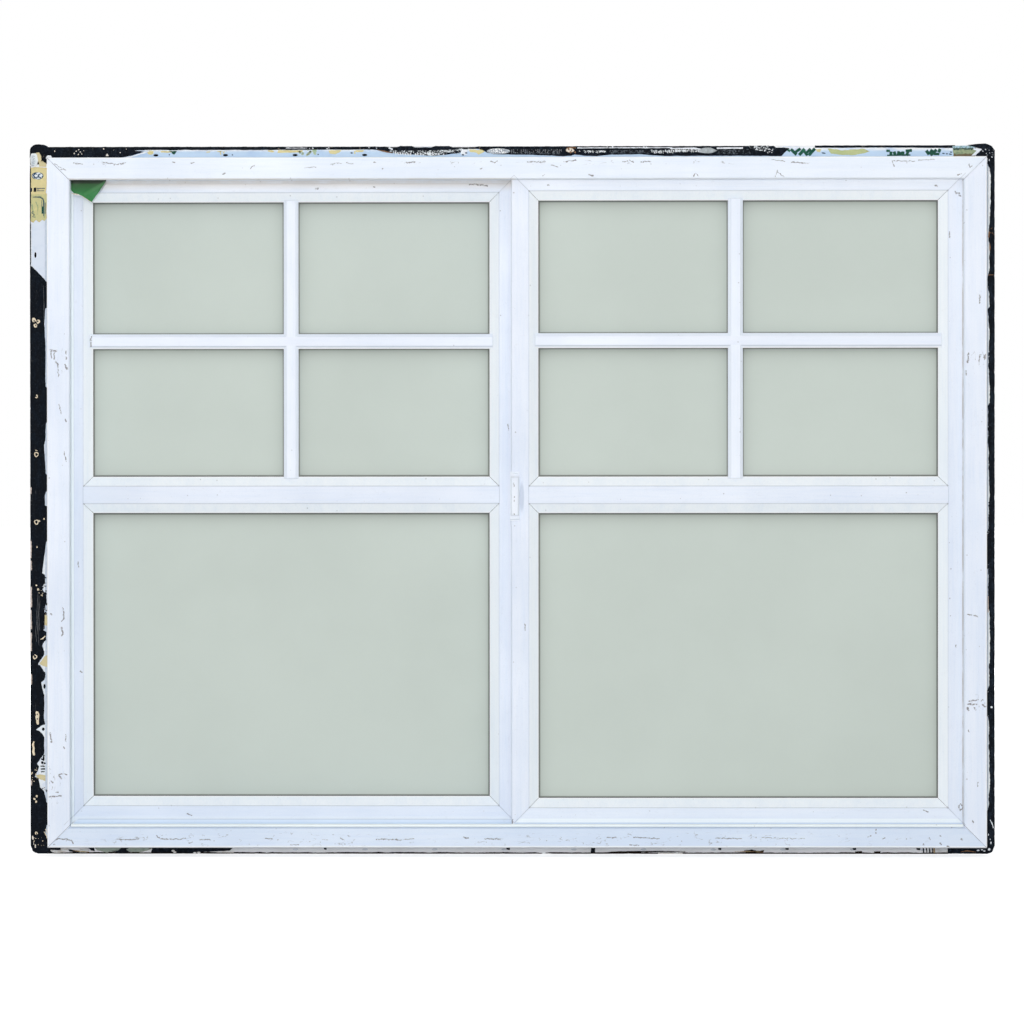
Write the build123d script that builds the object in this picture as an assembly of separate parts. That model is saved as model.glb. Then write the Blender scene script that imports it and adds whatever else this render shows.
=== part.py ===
from build123d import *
import os

# A white vinyl window with two sliding sashes and a nail fin, taken out of its wall.
# X runs to the right as seen from the room, +Y runs out through the wall and +Z runs up.
# The origin is on the wall-side face of the sill fin, halfway across that strip.
# All sizes are in millimetres.

# Frame over its outer edges, and how far its room face stands in front of the fin
frame_width = 1360.0
frame_height = 1000.0
fin_setback = 48.0

# Frame section, measured inwards from the outer edge: floor of the tracks,
# lip above that floor, and rib between the two tracks above that floor
jamb_floor = 22.5
jamb_lip = 10.5
jamb_rib = 12.0
head_floor = 18.0
head_lip = 14.0
head_rib = 17.0
sill_floor = 24.0
sill_lip = 7.0
sill_rib = 14.0
lip_bevel = 1.5
sill_lip_bevel = 3.5
outer_bevel = 1.0
weld_groove = 0.5

# Frame section along Y
room_leg = 10.0
street_leg = 5.0
sash_play = 2.0
rib_thickness = 2.0
rib_play = 1.0

# Rail that carries each sash on the sill
track_rail_height = 6.0
track_rail_thickness = 3.0

# Drain slots in the outside face of the sill
weep_length = 25.0
weep_height = 5.0
weep_depth = 6.0
weep_inset = 120.0
weep_rise = 8.0

# Nail fin
fin_left = 29.5
fin_right = 17.0
fin_top = 19.0
fin_bottom = 13.0
fin_thickness = 1.6
fin_corner_radius = 11.5
nail_line = 9.0
slot_pitch = 101.6
slot_length = 8.0
slot_width = 3.4
long_slot_start = 52.8
side_slot_start = 49.1
slot_end_margin = 30.0

# Sashes in their frame
sash_side_clearance = 0.5
sash_open_gap = 7.0
sash_overlap = 7.5
sash_lift_clearance = 4.0

# Sash members: widths of the flat faces around the glazing beads
stile_face = 25.2
top_rail_face = 26.0
bottom_rail_face = 27.0
mid_rail_face = 25.0
mid_rail_height = 481.0
sash_edge_bevel = 0.8

# Glazing along Y, from the sash's room face to its street face
glass_recess = 10.0
pane_thickness = 3.0
spacer_depth = 7.0
stop_depth = 7.0

# Glazing beads and gaskets
bead_width = 14.0
bead_gap = 0.8
bead_drop = 0.6
bead_toe = 0.8
bead_mitre_gap = 0.3
gasket_thickness = 0.8
gasket_lip = 0.7
gasket_seat = 2.5
stop_toe = 0.9
glass_edge_gap = 3.0
spacer_width = 8.0

# Bars applied to both faces of the upper glass
bar_width = 21.5
bar_bevel = 4.4
bar_bevel_rise = 3.0
room_bar_height = 8.0
street_bar_height = 5.0
cross_bar_overlap = 4.4
upright_bar_overlap = 2.2
cross_bar_drop = 3.0
left_upright_shift = 0.0
right_upright_shift = -4.0

# Latch on the meeting stile of the right sash
latch_width = 13.4
latch_height = 71.6
latch_base_thickness = 2.5
latch_corner = 1.6
latch_overhang = 2.0
latch_above_mid_rail = -2.0
cap_height = 7.0
cap_thickness = 6.5
cap_slope = 3.0
cap_gap = 1.8
lever_width = 12.2
lever_height = 54.0
lever_thickness = 9.0
lever_bevel = 2.0
foot_gap = 1.2
foot_thickness = 4.5
foot_bevel = 1.5

# Seal between the meeting stiles
seal_width = 5.0
seal_end_gap = 1.0

# Roofing membrane still stuck to the fin. A tear is its distance below the fin's
# top edge, its depth in from the membrane's inner edge and half its height.
membrane_thickness = 1.2
membrane_frame_gap = 0.5
left_membrane_below_top = 172.0
left_membrane_slope = 22.0
left_tears = [
    (450.0, 7.8, 17.0),
    (519.0, 7.8, 8.0),
    (615.0, 12.0, 32.0),
    (687.0, 9.0, 22.0),
    (755.0, 19.0, 19.0),
    (787.0, 12.5, 8.0),
    (848.0, 20.0, 10.0),
    (918.0, 22.0, 28.0),
]
right_membrane_width = 9.5
right_membrane_below_top = 28.0
right_tears = [
    (60.0, 3.5, 36.0),
    (180.0, 2.0, 22.0),
    (360.0, 2.5, 14.0),
    (500.0, 2.5, 24.0),
    (710.0, 3.5, 32.0),
    (920.0, 3.0, 16.0),
]
rim_width = 3.2
rim_end_gap = 94.0
top_wedge_length = 168.0
top_wedge_foot = 104.0
top_wedge_tip = 5.0
# Lower edges of the two strips on the top fin, from the window's middle, and how far they reach down
top_bulge = [(-202.0, 2.0), (-180.0, 9.0), (-140.0, 13.0), (-95.0, 14.0), (-79.0, 12.0), (-78.0, 2.0)]
top_strip = [(-47.0, 2.0), (-32.0, 11.0), (60.0, 14.0), (110.0, 12.5), (385.0, 14.0), (399.0, 2.0)]
corner_patch_width = 28.0
corner_patch_height = 26.0
lump_radius = 12.4
lump_in = 13.0
lump_down = 8.3
lump_thickness = 2.6

# How far a mitre cutter runs past the faces that it divides
mitre_reach = 1.8

# Places that follow from the sizes
left_edge = -frame_width / 2
right_edge = frame_width / 2
frame_bottom = fin_bottom / 2
frame_top = frame_bottom + frame_height
fin_x0 = left_edge - fin_left
fin_x1 = right_edge + fin_right
fin_z0 = frame_bottom - fin_bottom
fin_z1 = frame_top + fin_top

unit_thickness = 2 * pane_thickness + spacer_depth
sash_depth = glass_recess + unit_thickness + stop_depth
y_room = -fin_setback
y_room_leg = y_room + room_leg
y_front = y_room_leg + sash_play
y_rib = y_front + sash_depth + rib_play
y_rear = y_rib + rib_thickness + rib_play
y_street_leg = y_rear + sash_depth + sash_play
y_street = y_street_leg + street_leg

pocket_width = frame_width - 2 * jamb_floor
sash_width = (pocket_width - sash_side_clearance - sash_open_gap + sash_overlap) / 2
sash_bottom = frame_bottom + sill_floor + track_rail_height
sash_top = frame_top - head_floor - sash_lift_clearance
left_sash_x = left_edge + jamb_floor + sash_side_clearance
right_sash_x = left_sash_x + sash_width - sash_overlap
mid_rail_z = sash_bottom + mid_rail_height


class Rect:
    """An upright rectangle by its low and high corners in X and Z."""

    def __init__(self, x0, x1, z0, z1):
        self.x0 = x0
        self.x1 = x1
        self.z0 = z0
        self.z1 = z1

    def inset(self, left, right, bottom, top):
        return Rect(self.x0 + left, self.x1 - right, self.z0 + bottom, self.z1 - top)

    def grow(self, d):
        return self.inset(-d, -d, -d, -d)


frame_rect = Rect(left_edge, right_edge, frame_bottom, frame_top)


def save(name, *solids):
    """Write one node from solids that don't touch each other."""
    parts = [s for shape in solids for s in shape.solids()]
    body = parts[0] if len(parts) == 1 else Compound(parts)
    export_step(body, os.path.join("parts", name + ".step"))


def block(x0, x1, y0, y1, z0, z1):
    return Pos((x0 + x1) / 2, (y0 + y1) / 2, (z0 + z1) / 2) * Box(x1 - x0, y1 - y0, z1 - z0)


def face_of(points):
    return make_face(Polyline(*points, close=True))


def prism_x(points, x0, x1):
    """A section drawn in Y and Z, run along X."""
    face = face_of([(x0, y, z) for y, z in points])
    return extrude(face, amount=x1 - x0, dir=(1, 0, 0))


def prism_y(points, y0, y1):
    """An outline drawn in X and Z, run along Y."""
    face = face_of([(x, y0, z) for x, z in points])
    return extrude(face, amount=y1 - y0, dir=(0, 1, 0))


def prism_z(points, z0, z1):
    """A section drawn in X and Y, run along Z."""
    face = face_of([(x, y, z0) for x, y in points])
    return extrude(face, amount=z1 - z0, dir=(0, 0, 1))


def mitre_wedge(side, rect, widths, y0, y1):
    """The share of a frame that one side keeps between its two corner mitres."""
    left, right, bottom, top = [w * mitre_reach for w in widths]
    inner = rect.inset(left, right, bottom, top)
    corners = {
        "left": [(rect.x0, rect.z0), (rect.x0, rect.z1), (inner.x0, inner.z1), (inner.x0, inner.z0)],
        "right": [(rect.x1, rect.z0), (rect.x1, rect.z1), (inner.x1, inner.z1), (inner.x1, inner.z0)],
        "bottom": [(rect.x0, rect.z0), (rect.x1, rect.z0), (inner.x1, inner.z0), (inner.x0, inner.z0)],
        "top": [(rect.x0, rect.z1), (rect.x1, rect.z1), (inner.x1, inner.z1), (inner.x0, inner.z1)],
    }
    return prism_y(corners[side], y0, y1)


def run_side(section, side, rect):
    """Run a section of (inward distance, y) points along one side of a rectangle."""
    if side == "left":
        return prism_z([(rect.x0 + u, y) for u, y in section], rect.z0, rect.z1)
    if side == "right":
        return prism_z([(rect.x1 - u, y) for u, y in section], rect.z0, rect.z1)
    if side == "bottom":
        return prism_x([(y, rect.z0 + u) for u, y in section], rect.x0, rect.x1)
    return prism_x([(y, rect.z1 - u) for u, y in section], rect.x0, rect.x1)


def mitred(section, side, rect, widths):
    ys = [y for u, y in section]
    wedge = mitre_wedge(side, rect, widths, min(ys), max(ys))
    return run_side(section, side, rect) & wedge


def weld_grooves(rect, widths, faces):
    """Shallow V grooves along the four mitres of a welded frame, on each of its faces in Y."""
    left, right, bottom, top = widths
    grooves = []
    for x, dx in ((rect.x0, left), (rect.x1, -right)):
        for z, dz in ((rect.z0, bottom), (rect.z1, -top)):
            for y in faces:
                start = Vector(x, y, z)
                run = Vector(dx, 0, dz)
                plane = Plane(origin=start, x_dir=(0, 1, 0), z_dir=run)
                side = weld_groove * 2 ** 0.5
                square = plane * Rot(0, 0, 45) * Rectangle(side, side)
                grooves.append(extrude(square, amount=run.length))
    return grooves


def frame_section(floor, lip, rib, bevel):
    """Outline of a frame member with its two legs and the rib between the tracks."""
    edge = floor + lip
    return [
        (0, y_room + outer_bevel),
        (outer_bevel, y_room),
        (edge - bevel, y_room),
        (edge, y_room + bevel),
        (edge, y_room_leg),
        (floor, y_room_leg),
        (floor, y_rib),
        (floor + rib, y_rib),
        (floor + rib, y_rib + rib_thickness),
        (floor, y_rib + rib_thickness),
        (floor, y_street_leg),
        (edge, y_street_leg),
        (edge, y_street),
        (outer_bevel, y_street),
        (0, y_street - outer_bevel),
    ]


def track_rails():
    """Rails on the sill floor, one under the middle of each sash, between the jambs' floors."""
    rails = []
    for y_sash in (y_front, y_rear):
        y0 = y_sash + (sash_depth - track_rail_thickness) / 2
        z0 = frame_bottom + sill_floor
        x0 = left_edge + jamb_floor
        x1 = right_edge - jamb_floor
        rails.append(block(x0, x1, y0, y0 + track_rail_thickness, z0, z0 + track_rail_height))
    return rails


def weep_slots():
    slots = []
    for x in (left_edge + weep_inset, right_edge - weep_inset):
        slot = Rot(90, 0, 0) * extrude(SlotOverall(weep_length, weep_height), amount=weep_depth)
        slots.append(Pos(x, y_street, frame_bottom + weep_rise) * slot)
    return slots


def build_frame():
    edges = {
        "left": jamb_floor + jamb_lip,
        "right": jamb_floor + jamb_lip,
        "bottom": sill_floor + sill_lip,
        "top": head_floor + head_lip,
    }
    widths = [edges[side] for side in ("left", "right", "bottom", "top")]
    grooves = weld_grooves(frame_rect, widths, (y_room, y_street))
    jamb = frame_section(jamb_floor, jamb_lip, jamb_rib, lip_bevel)
    head = frame_section(head_floor, head_lip, head_rib, lip_bevel)
    sill = frame_section(sill_floor, sill_lip, sill_rib, sill_lip_bevel)
    save("left_jamb", mitred(jamb, "left", frame_rect, widths) - grooves)
    save("right_jamb", mitred(jamb, "right", frame_rect, widths) - grooves)
    save("head", mitred(head, "top", frame_rect, widths) - grooves)
    sill_body = mitred(sill, "bottom", frame_rect, widths)
    for rail in track_rails():
        sill_body = sill_body + (rail & mitre_wedge("bottom", frame_rect, widths, y_room, y_street))
    save("sill", sill_body - weep_slots() - grooves)


def slot_places(start, length):
    """Distances of the nail slots along one fin."""
    count = int((length - start - slot_end_margin) // slot_pitch) + 1
    return [start + i * slot_pitch for i in range(count)]


def nail_inset(width):
    return min(nail_line, width / 2)


def nail_slot(x, z, upright):
    slot = extrude(SlotOverall(slot_length, slot_width), amount=fin_thickness * 3, both=True)
    turn = Rot(90, 0, 0) * (Rot(0, 0, 90) if upright else Rot(0, 0, 0))
    return Pos(x, fin_thickness / 2, z) * turn * slot


def fin_plate(y0, y1):
    """The whole outline of the fin as a plate with rounded corners."""
    radius = min(fin_corner_radius, fin_left, fin_right, fin_top, fin_bottom)
    outline = Rot(90, 0, 0) * RectangleRounded(fin_x1 - fin_x0, fin_z1 - fin_z0, radius)
    place = Pos((fin_x0 + fin_x1) / 2, y0, (fin_z0 + fin_z1) / 2)
    return extrude(place * outline, amount=y1 - y0, dir=(0, 1, 0))


def fin_strips():
    """The four strips of the fin, cut from one plate along their corner mitres."""
    plate = fin_plate(0, fin_thickness)
    r = frame_rect
    plate = plate - block(r.x0, r.x1, 0, fin_thickness, r.z0, r.z1)
    quads = {
        "left": [(fin_x0, fin_z0), (fin_x0, fin_z1), (r.x0, r.z1), (r.x0, r.z0)],
        "right": [(fin_x1, fin_z0), (fin_x1, fin_z1), (r.x1, r.z1), (r.x1, r.z0)],
        "bottom": [(fin_x0, fin_z0), (fin_x1, fin_z0), (r.x1, r.z0), (r.x0, r.z0)],
        "top": [(fin_x0, fin_z1), (fin_x1, fin_z1), (r.x1, r.z1), (r.x0, r.z1)],
    }
    return {side: plate & prism_y(quad, 0, fin_thickness) for side, quad in quads.items()}


def fin_slots(side):
    """Cutters for the nail slots of one fin, in a line at a fixed distance from its outer edge."""
    if side in ("top", "bottom"):
        z = fin_z1 - nail_inset(fin_top) if side == "top" else fin_z0 + nail_inset(fin_bottom)
        places = slot_places(long_slot_start, frame_width)
        return [nail_slot(left_edge + d, z, False) for d in places]
    x = fin_x0 + nail_inset(fin_left) if side == "left" else fin_x1 - nail_inset(fin_right)
    places = slot_places(side_slot_start, frame_height)
    return [nail_slot(x, frame_bottom + d, True) for d in places]


def build_fins():
    for side, strip in fin_strips().items():
        save(side + "_fin", strip - fin_slots(side))


def sash_section(face, y0):
    """Outline of a sash member: flat face, glazing rebate and the stop on the street side."""
    glass_back = y0 + glass_recess + unit_thickness
    y1 = y0 + sash_depth
    b = sash_edge_bevel
    return [
        (b, y0),
        (face - b, y0),
        (face, y0 + b),
        (face, glass_back),
        (face + bead_width, glass_back),
        (face + bead_width, glass_back + stop_toe),
        (face + bead_gap, y1),
        (b, y1),
        (0, y1 - b),
        (0, y0 + b),
    ]


def mid_rail_section(y0):
    """Outline of the middle rail in Y and Z, with the same rebate and stop above and below."""
    half = mid_rail_face / 2
    upper = [(u - half, y) for u, y in sash_section(mid_rail_face, y0)[1:7]]
    lower = [(-u, y) for u, y in reversed(upper)]
    return [(y, mid_rail_z + u) for u, y in upper + lower]


def sash_openings(rect):
    """Openings between the flat faces: the upper one and the lower one."""
    z0 = mid_rail_z - mid_rail_face / 2
    z1 = mid_rail_z + mid_rail_face / 2
    x0 = rect.x0 + stile_face
    x1 = rect.x1 - stile_face
    upper = Rect(x0, x1, z1, rect.z1 - top_rail_face)
    lower = Rect(x0, x1, rect.z0 + bottom_rail_face, z0)
    return upper, lower


def build_sash_members(name, rect, y0):
    widths = [
        stile_face + bead_width,
        stile_face + bead_width,
        bottom_rail_face + bead_width,
        top_rail_face + bead_width,
    ]
    faces = [stile_face, stile_face, bottom_rail_face, top_rail_face]
    grooves = weld_grooves(rect, faces, (y0, y0 + sash_depth))
    stile = sash_section(stile_face, y0)
    top_rail = sash_section(top_rail_face, y0)
    bottom_rail = sash_section(bottom_rail_face, y0)
    left = mitred(stile, "left", rect, widths)
    right = mitred(stile, "right", rect, widths)
    middle = prism_x(mid_rail_section(y0), rect.x0 + stile_face, rect.x1 - stile_face)
    middle = middle - [left, right]
    save(name + "_left_stile", left - grooves)
    save(name + "_right_stile", right - grooves)
    save(name + "_top_rail", mitred(top_rail, "top", rect, widths) - grooves)
    save(name + "_bottom_rail", mitred(bottom_rail, "bottom", rect, widths) - grooves)
    save(name + "_mid_rail", middle)


def bead_section(y0):
    """Outline of a glazing bead, sloping from beside the sash face down to the glass."""
    seat = y0 + glass_recess - gasket_thickness
    return [
        (bead_gap, y0 + bead_drop),
        (bead_width, seat - bead_toe),
        (bead_width, seat),
        (bead_gap, seat),
    ]


def mitre_gaps(rect, y0, y1):
    """Thin cutters along the four bead mitres."""
    reach = bead_width * mitre_reach
    g = bead_mitre_gap
    cuts = []
    for x, dx in ((rect.x0, 1), (rect.x1, -1)):
        for z, dz in ((rect.z0, 1), (rect.z1, -1)):
            points = [
                (x - dx * g, z),
                (x, z - dz * g),
                (x + dx * reach, z + dz * (reach - g)),
                (x + dx * (reach - g), z + dz * reach),
            ]
            cuts.append(prism_y(points, y0, y1))
    return cuts


def bead_set(opening, y0):
    """Four mitred beads round one pane."""
    widths = [bead_width] * 4
    section = bead_section(y0)
    cuts = mitre_gaps(opening, y0, y0 + glass_recess)
    return [mitred(section, side, opening, widths) - cuts for side in ("left", "right", "bottom", "top")]


def ring(outer, inner, y0, y1):
    plate = block(outer.x0, outer.x1, y0, y1, outer.z0, outer.z1)
    return plate - block(inner.x0, inner.x1, y0, y1, inner.z0, inner.z1)


def gasket_ring(opening, y0):
    """Dark strip between the beads and the glass, with a thin lip in view."""
    lip = -(bead_width + gasket_lip)
    seat = y0 + glass_recess
    return ring(opening.grow(-gasket_seat), opening.grow(lip), seat - gasket_thickness, seat)


def build_glazing(name, openings, y0):
    panes = [opening.grow(-glass_edge_gap) for opening in openings]
    y_front_pane = y0 + glass_recess
    y_spacer = y_front_pane + pane_thickness
    y_rear_pane = y_spacer + spacer_depth
    for side, y in (("room", y_front_pane), ("street", y_rear_pane)):
        glass = [block(p.x0, p.x1, y, y + pane_thickness, p.z0, p.z1) for p in panes]
        save(name + "_" + side + "_glass", *glass)
    spacers = [ring(p, p.grow(-spacer_width), y_spacer, y_rear_pane) for p in panes]
    save(name + "_spacers", *spacers)
    save(name + "_gaskets", *[gasket_ring(opening, y0) for opening in openings])
    save(name + "_upper_beads", *bead_set(openings[0], y0))
    save(name + "_lower_beads", *bead_set(openings[1], y0))


def bar_section(height):
    """Section of an applied bar as (across, height above the glass) points."""
    half = bar_width / 2
    flat = half - bar_bevel
    return [
        (-half, 0),
        (half, 0),
        (half, height - bar_bevel_rise),
        (flat, height),
        (-flat, height),
        (-half, height - bar_bevel_rise),
    ]


def bar_side(low, high, overlap, height, lip, lip_height, toe, slope):
    """Side view of a bar as (along, height) points, its ends lying on the bead slopes."""
    left = [
        (low + lip, 0),
        (low + lip, lip_height),
        (low, lip_height),
        (low, toe),
        (low - overlap, toe + slope * overlap),
        (low - overlap, height),
    ]
    right = [(high + low - along, h) for along, h in reversed(left)]
    points = []
    for point in left + right:
        if not points or points[-1] != point:
            points.append(point)
    return points


class BarSide:
    """The face of the glass that a set of bars lies on."""

    def __init__(self, label, glass_y, outward, height, lip, lip_height, toe, slope):
        self.label = label
        self.glass_y = glass_y
        self.outward = outward
        self.height = height
        self.ends = (height, lip, lip_height, toe, slope)

    def y(self, h):
        return self.glass_y + self.outward * h

    def across(self, z, low, high):
        section = prism_x([(self.y(h), z + u) for u, h in bar_section(self.height)],
                          low - cross_bar_overlap, high + cross_bar_overlap)
        side = bar_side(low, high, cross_bar_overlap, *self.ends)
        half = bar_width
        return section & prism_z([(x, self.y(h)) for x, h in side], z - half, z + half)

    def upright(self, x, low, high):
        section = prism_z([(x + u, self.y(h)) for u, h in bar_section(self.height)],
                          low - upright_bar_overlap, high + upright_bar_overlap)
        side = bar_side(low, high, upright_bar_overlap, *self.ends)
        half = bar_width
        return section & prism_x([(self.y(h), z) for z, h in side], x - half, x + half)


def build_bars(name, opening, y0, shift):
    """Room-side and street-side bars over the upper pane."""
    sight = opening.grow(-bead_width)
    bead_run = bead_width - bead_gap
    seat_height = gasket_thickness + bead_toe
    room_slope = (glass_recess - bead_drop - seat_height) / bead_run
    street_slope = (stop_depth - stop_toe) / bead_run
    room = BarSide("room", y0 + glass_recess, -1, room_bar_height,
                   gasket_lip, gasket_thickness, seat_height, room_slope)
    street = BarSide("street", y0 + glass_recess + unit_thickness, 1, street_bar_height,
                     0, 0, stop_toe, street_slope)
    x = (sight.x0 + sight.x1) / 2 + shift
    z = (sight.z0 + sight.z1) / 2 - cross_bar_drop
    for side in (room, street):
        across = side.across(z, sight.x0, sight.x1)
        upright = side.upright(x, sight.z0, sight.z1) - across
        save(name + "_" + side.label + "_cross_bar", across)
        save(name + "_" + side.label + "_upright_bars", upright)


def build_sash(name, x0, y0, shift):
    rect = Rect(x0, x0 + sash_width, sash_bottom, sash_top)
    openings = sash_openings(rect)
    build_sash_members(name, rect, y0)
    build_glazing(name, openings, y0)
    build_bars(name, openings[0], y0, shift)


def build_latch():
    """Base plate with a bevelled cap, and the lever that stands proud below the cap."""
    x0 = right_sash_x - latch_overhang
    x1 = x0 + latch_width
    xm = (x0 + x1) / 2
    z_mid = mid_rail_z + latch_above_mid_rail
    z0 = z_mid - latch_height / 2
    z1 = z_mid + latch_height / 2
    y_base = y_front - latch_base_thickness
    outline = Rot(90, 0, 0) * RectangleRounded(latch_width, latch_height, latch_corner)
    plate = extrude(Pos(xm, y_base, z_mid) * outline, amount=latch_base_thickness, dir=(0, 1, 0))
    y_cap = y_front - cap_thickness
    cap_side = [
        (y_base, z1 - cap_height),
        (y_cap, z1 - cap_height),
        (y_cap, z1 - cap_slope),
        (y_base, z1 - latch_corner),
    ]
    cap_front = [
        (x0, z1 - cap_height),
        (x1, z1 - cap_height),
        (x1 - cap_slope, z1 - latch_corner),
        (x0 + cap_slope, z1 - latch_corner),
    ]
    cap = prism_x(cap_side, x0, x1) & prism_y(cap_front, y_cap, y_base)
    lever_top = z1 - cap_height - cap_gap
    lever_bottom = lever_top - lever_height
    y_foot = y_front - foot_thickness
    foot_side = [
        (y_base, z0 + latch_corner),
        (y_foot, z0 + latch_corner + foot_bevel),
        (y_foot, lever_bottom - foot_gap),
        (y_base, lever_bottom - foot_gap),
    ]
    save("latch_base", plate + cap + prism_x(foot_side, x0, x1))
    y_lever = y_front - lever_thickness
    half = lever_width / 2
    b = lever_bevel
    section = [
        (xm - half, y_base),
        (xm - half, y_lever + b),
        (xm - half + b, y_lever),
        (xm + half - b, y_lever),
        (xm + half, y_lever + b),
        (xm + half, y_base),
    ]
    save("latch_lever", prism_z(section, lever_bottom, lever_top))


def build_seal():
    """Pile strip that fills the gap between the two meeting stiles."""
    x_mid = right_sash_x + sash_overlap / 2
    z0 = frame_bottom + sill_floor + sill_rib + seal_end_gap
    z1 = frame_top - head_floor - head_rib - seal_end_gap
    y0 = y_front + sash_depth
    save("meeting_seal", block(x_mid - seal_width / 2, x_mid + seal_width / 2, y0, y_rear, z0, z1))


def tear_cutters(inner, outward, tears):
    """Pointed notches in the inner edge of an upright strip of membrane."""
    cutters = []
    for down, depth, half in tears:
        z = fin_z1 - down
        points = [(inner, z + half), (inner + outward * depth, z), (inner, z - half)]
        cutters.append(prism_y(points, -membrane_thickness, 0))
    return cutters


def build_left_membrane():
    """Strip down the left fin, cut off at a slant at its top end and torn along the frame."""
    z1 = fin_z1 - left_membrane_below_top
    inner = left_edge - membrane_frame_gap
    outline = [
        (fin_x0, frame_bottom),
        (fin_x0, z1),
        (inner, z1 - left_membrane_slope),
        (inner, frame_bottom),
    ]
    strip = prism_y(outline, -membrane_thickness, 0)
    save("left_membrane", strip - tear_cutters(inner, -1, left_tears) - fin_slots("left"))


def build_right_membrane():
    z0 = frame_bottom
    z1 = fin_z1 - right_membrane_below_top
    inner = fin_x1 - right_membrane_width
    strip = block(inner, fin_x1, -membrane_thickness, 0, z0, z1)
    save("right_membrane", strip - tear_cutters(inner, 1, right_tears) - fin_slots("right"))


def hanging_strip(edge, x_mid):
    """Strip of membrane that hangs from the rim, with its lower edge given from the middle."""
    first = edge[0][0]
    last = edge[-1][0]
    points = [(x_mid + first, fin_z1), (x_mid + last, fin_z1)]
    points += [(x_mid + along, fin_z1 - down) for along, down in reversed(edge)]
    return prism_y(points, -membrane_thickness, 0)


def build_top_membrane():
    """Lump and wedge in the left corner, rim along the top, two strips and a patch at the right."""
    lump = Rot(90, 0, 0) * Cylinder(lump_radius, lump_thickness)
    lump = Pos(fin_x0 + lump_in, -lump_thickness / 2, fin_z1 - lump_down) * lump
    x0 = fin_x0 + lump_in
    low = frame_top + membrane_frame_gap
    wedge_points = [
        (x0, fin_z1),
        (fin_x0 + top_wedge_length, fin_z1),
        (fin_x0 + top_wedge_length, fin_z1 - top_wedge_tip),
        (fin_x0 + top_wedge_foot, low),
        (x0, low),
    ]
    wedge = prism_y(wedge_points, -membrane_thickness, 0)
    rim = block(x0, fin_x1 - rim_end_gap, -membrane_thickness, 0, fin_z1 - rim_width, fin_z1)
    x_mid = (left_edge + right_edge) / 2
    strips = [hanging_strip(edge, x_mid) for edge in (top_bulge, top_strip)]
    patch = block(fin_x1 - corner_patch_width, fin_x1, -membrane_thickness, 0,
                  fin_z1 - corner_patch_height, fin_z1)
    patch = patch & fin_plate(-membrane_thickness, 0)
    r = frame_rect.grow(membrane_frame_gap)
    patch = patch - block(r.x0, r.x1, -membrane_thickness, 0, r.z0, r.z1)
    save("top_membrane", (lump + wedge + rim + strips) - fin_slots("top"), patch)


def main():
    os.makedirs("parts", exist_ok=True)
    build_frame()
    build_fins()
    build_sash("left_sash", left_sash_x, y_rear, left_upright_shift)
    build_sash("right_sash", right_sash_x, y_front, right_upright_shift)
    build_latch()
    build_seal()
    build_left_membrane()
    build_top_membrane()
    build_right_membrane()


main()
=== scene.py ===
import math
import random

import bpy
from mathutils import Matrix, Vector, geometry, kdtree, noise


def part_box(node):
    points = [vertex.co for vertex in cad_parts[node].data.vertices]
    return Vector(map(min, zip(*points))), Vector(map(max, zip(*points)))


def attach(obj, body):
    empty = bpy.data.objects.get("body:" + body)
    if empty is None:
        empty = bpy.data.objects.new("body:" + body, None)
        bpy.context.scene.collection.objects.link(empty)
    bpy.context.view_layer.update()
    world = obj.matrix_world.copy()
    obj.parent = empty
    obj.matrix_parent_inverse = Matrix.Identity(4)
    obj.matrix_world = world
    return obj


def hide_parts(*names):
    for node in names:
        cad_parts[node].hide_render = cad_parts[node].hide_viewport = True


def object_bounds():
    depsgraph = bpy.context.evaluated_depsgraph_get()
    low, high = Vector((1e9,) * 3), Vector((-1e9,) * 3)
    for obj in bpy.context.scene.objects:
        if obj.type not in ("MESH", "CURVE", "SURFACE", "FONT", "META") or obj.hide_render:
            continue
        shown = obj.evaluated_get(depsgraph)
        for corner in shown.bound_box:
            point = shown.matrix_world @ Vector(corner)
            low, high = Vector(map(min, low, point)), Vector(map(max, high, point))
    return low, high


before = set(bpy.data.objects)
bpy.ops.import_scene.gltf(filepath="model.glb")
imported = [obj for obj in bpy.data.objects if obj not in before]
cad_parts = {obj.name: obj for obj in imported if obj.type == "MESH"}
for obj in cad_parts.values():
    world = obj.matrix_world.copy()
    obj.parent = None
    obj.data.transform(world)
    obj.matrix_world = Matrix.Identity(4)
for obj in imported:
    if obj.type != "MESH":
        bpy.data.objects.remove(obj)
cad_low, cad_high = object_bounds()

MM = 0.001

# Places on the window that patterns and pieces are laid out from
FIN_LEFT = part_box("left_fin")[0].x
FIN_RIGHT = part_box("right_fin")[1].x
FIN_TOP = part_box("top_fin")[1].z
FIN_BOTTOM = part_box("bottom_fin")[0].z
FIN_FACE = 0.0
FRAME_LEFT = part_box("left_jamb")[0].x
FRAME_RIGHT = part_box("right_jamb")[1].x
FRAME_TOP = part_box("head")[1].z
FRAME_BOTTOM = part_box("sill")[0].z
FRAME_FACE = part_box("head")[0].y
SASH_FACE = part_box("left_sash_top_rail")[0].y
PANE_INSET = 13.9 * MM
FILM_FACE = -0.024

# Camera, where the photograph was taken from, and how many degrees it tips down, rolls and turns left
CAMERA_PLACE = (-0.060, -6.048, 0.5665)
CAMERA_TIP = 0.25
CAMERA_ROLL = 0.04
CAMERA_TURN = 0.65
LENS_MM = 145.76
SENSOR_MM = 36.0
SHIFT_X = 0.0821
SHIFT_Y = -0.0320

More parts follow.
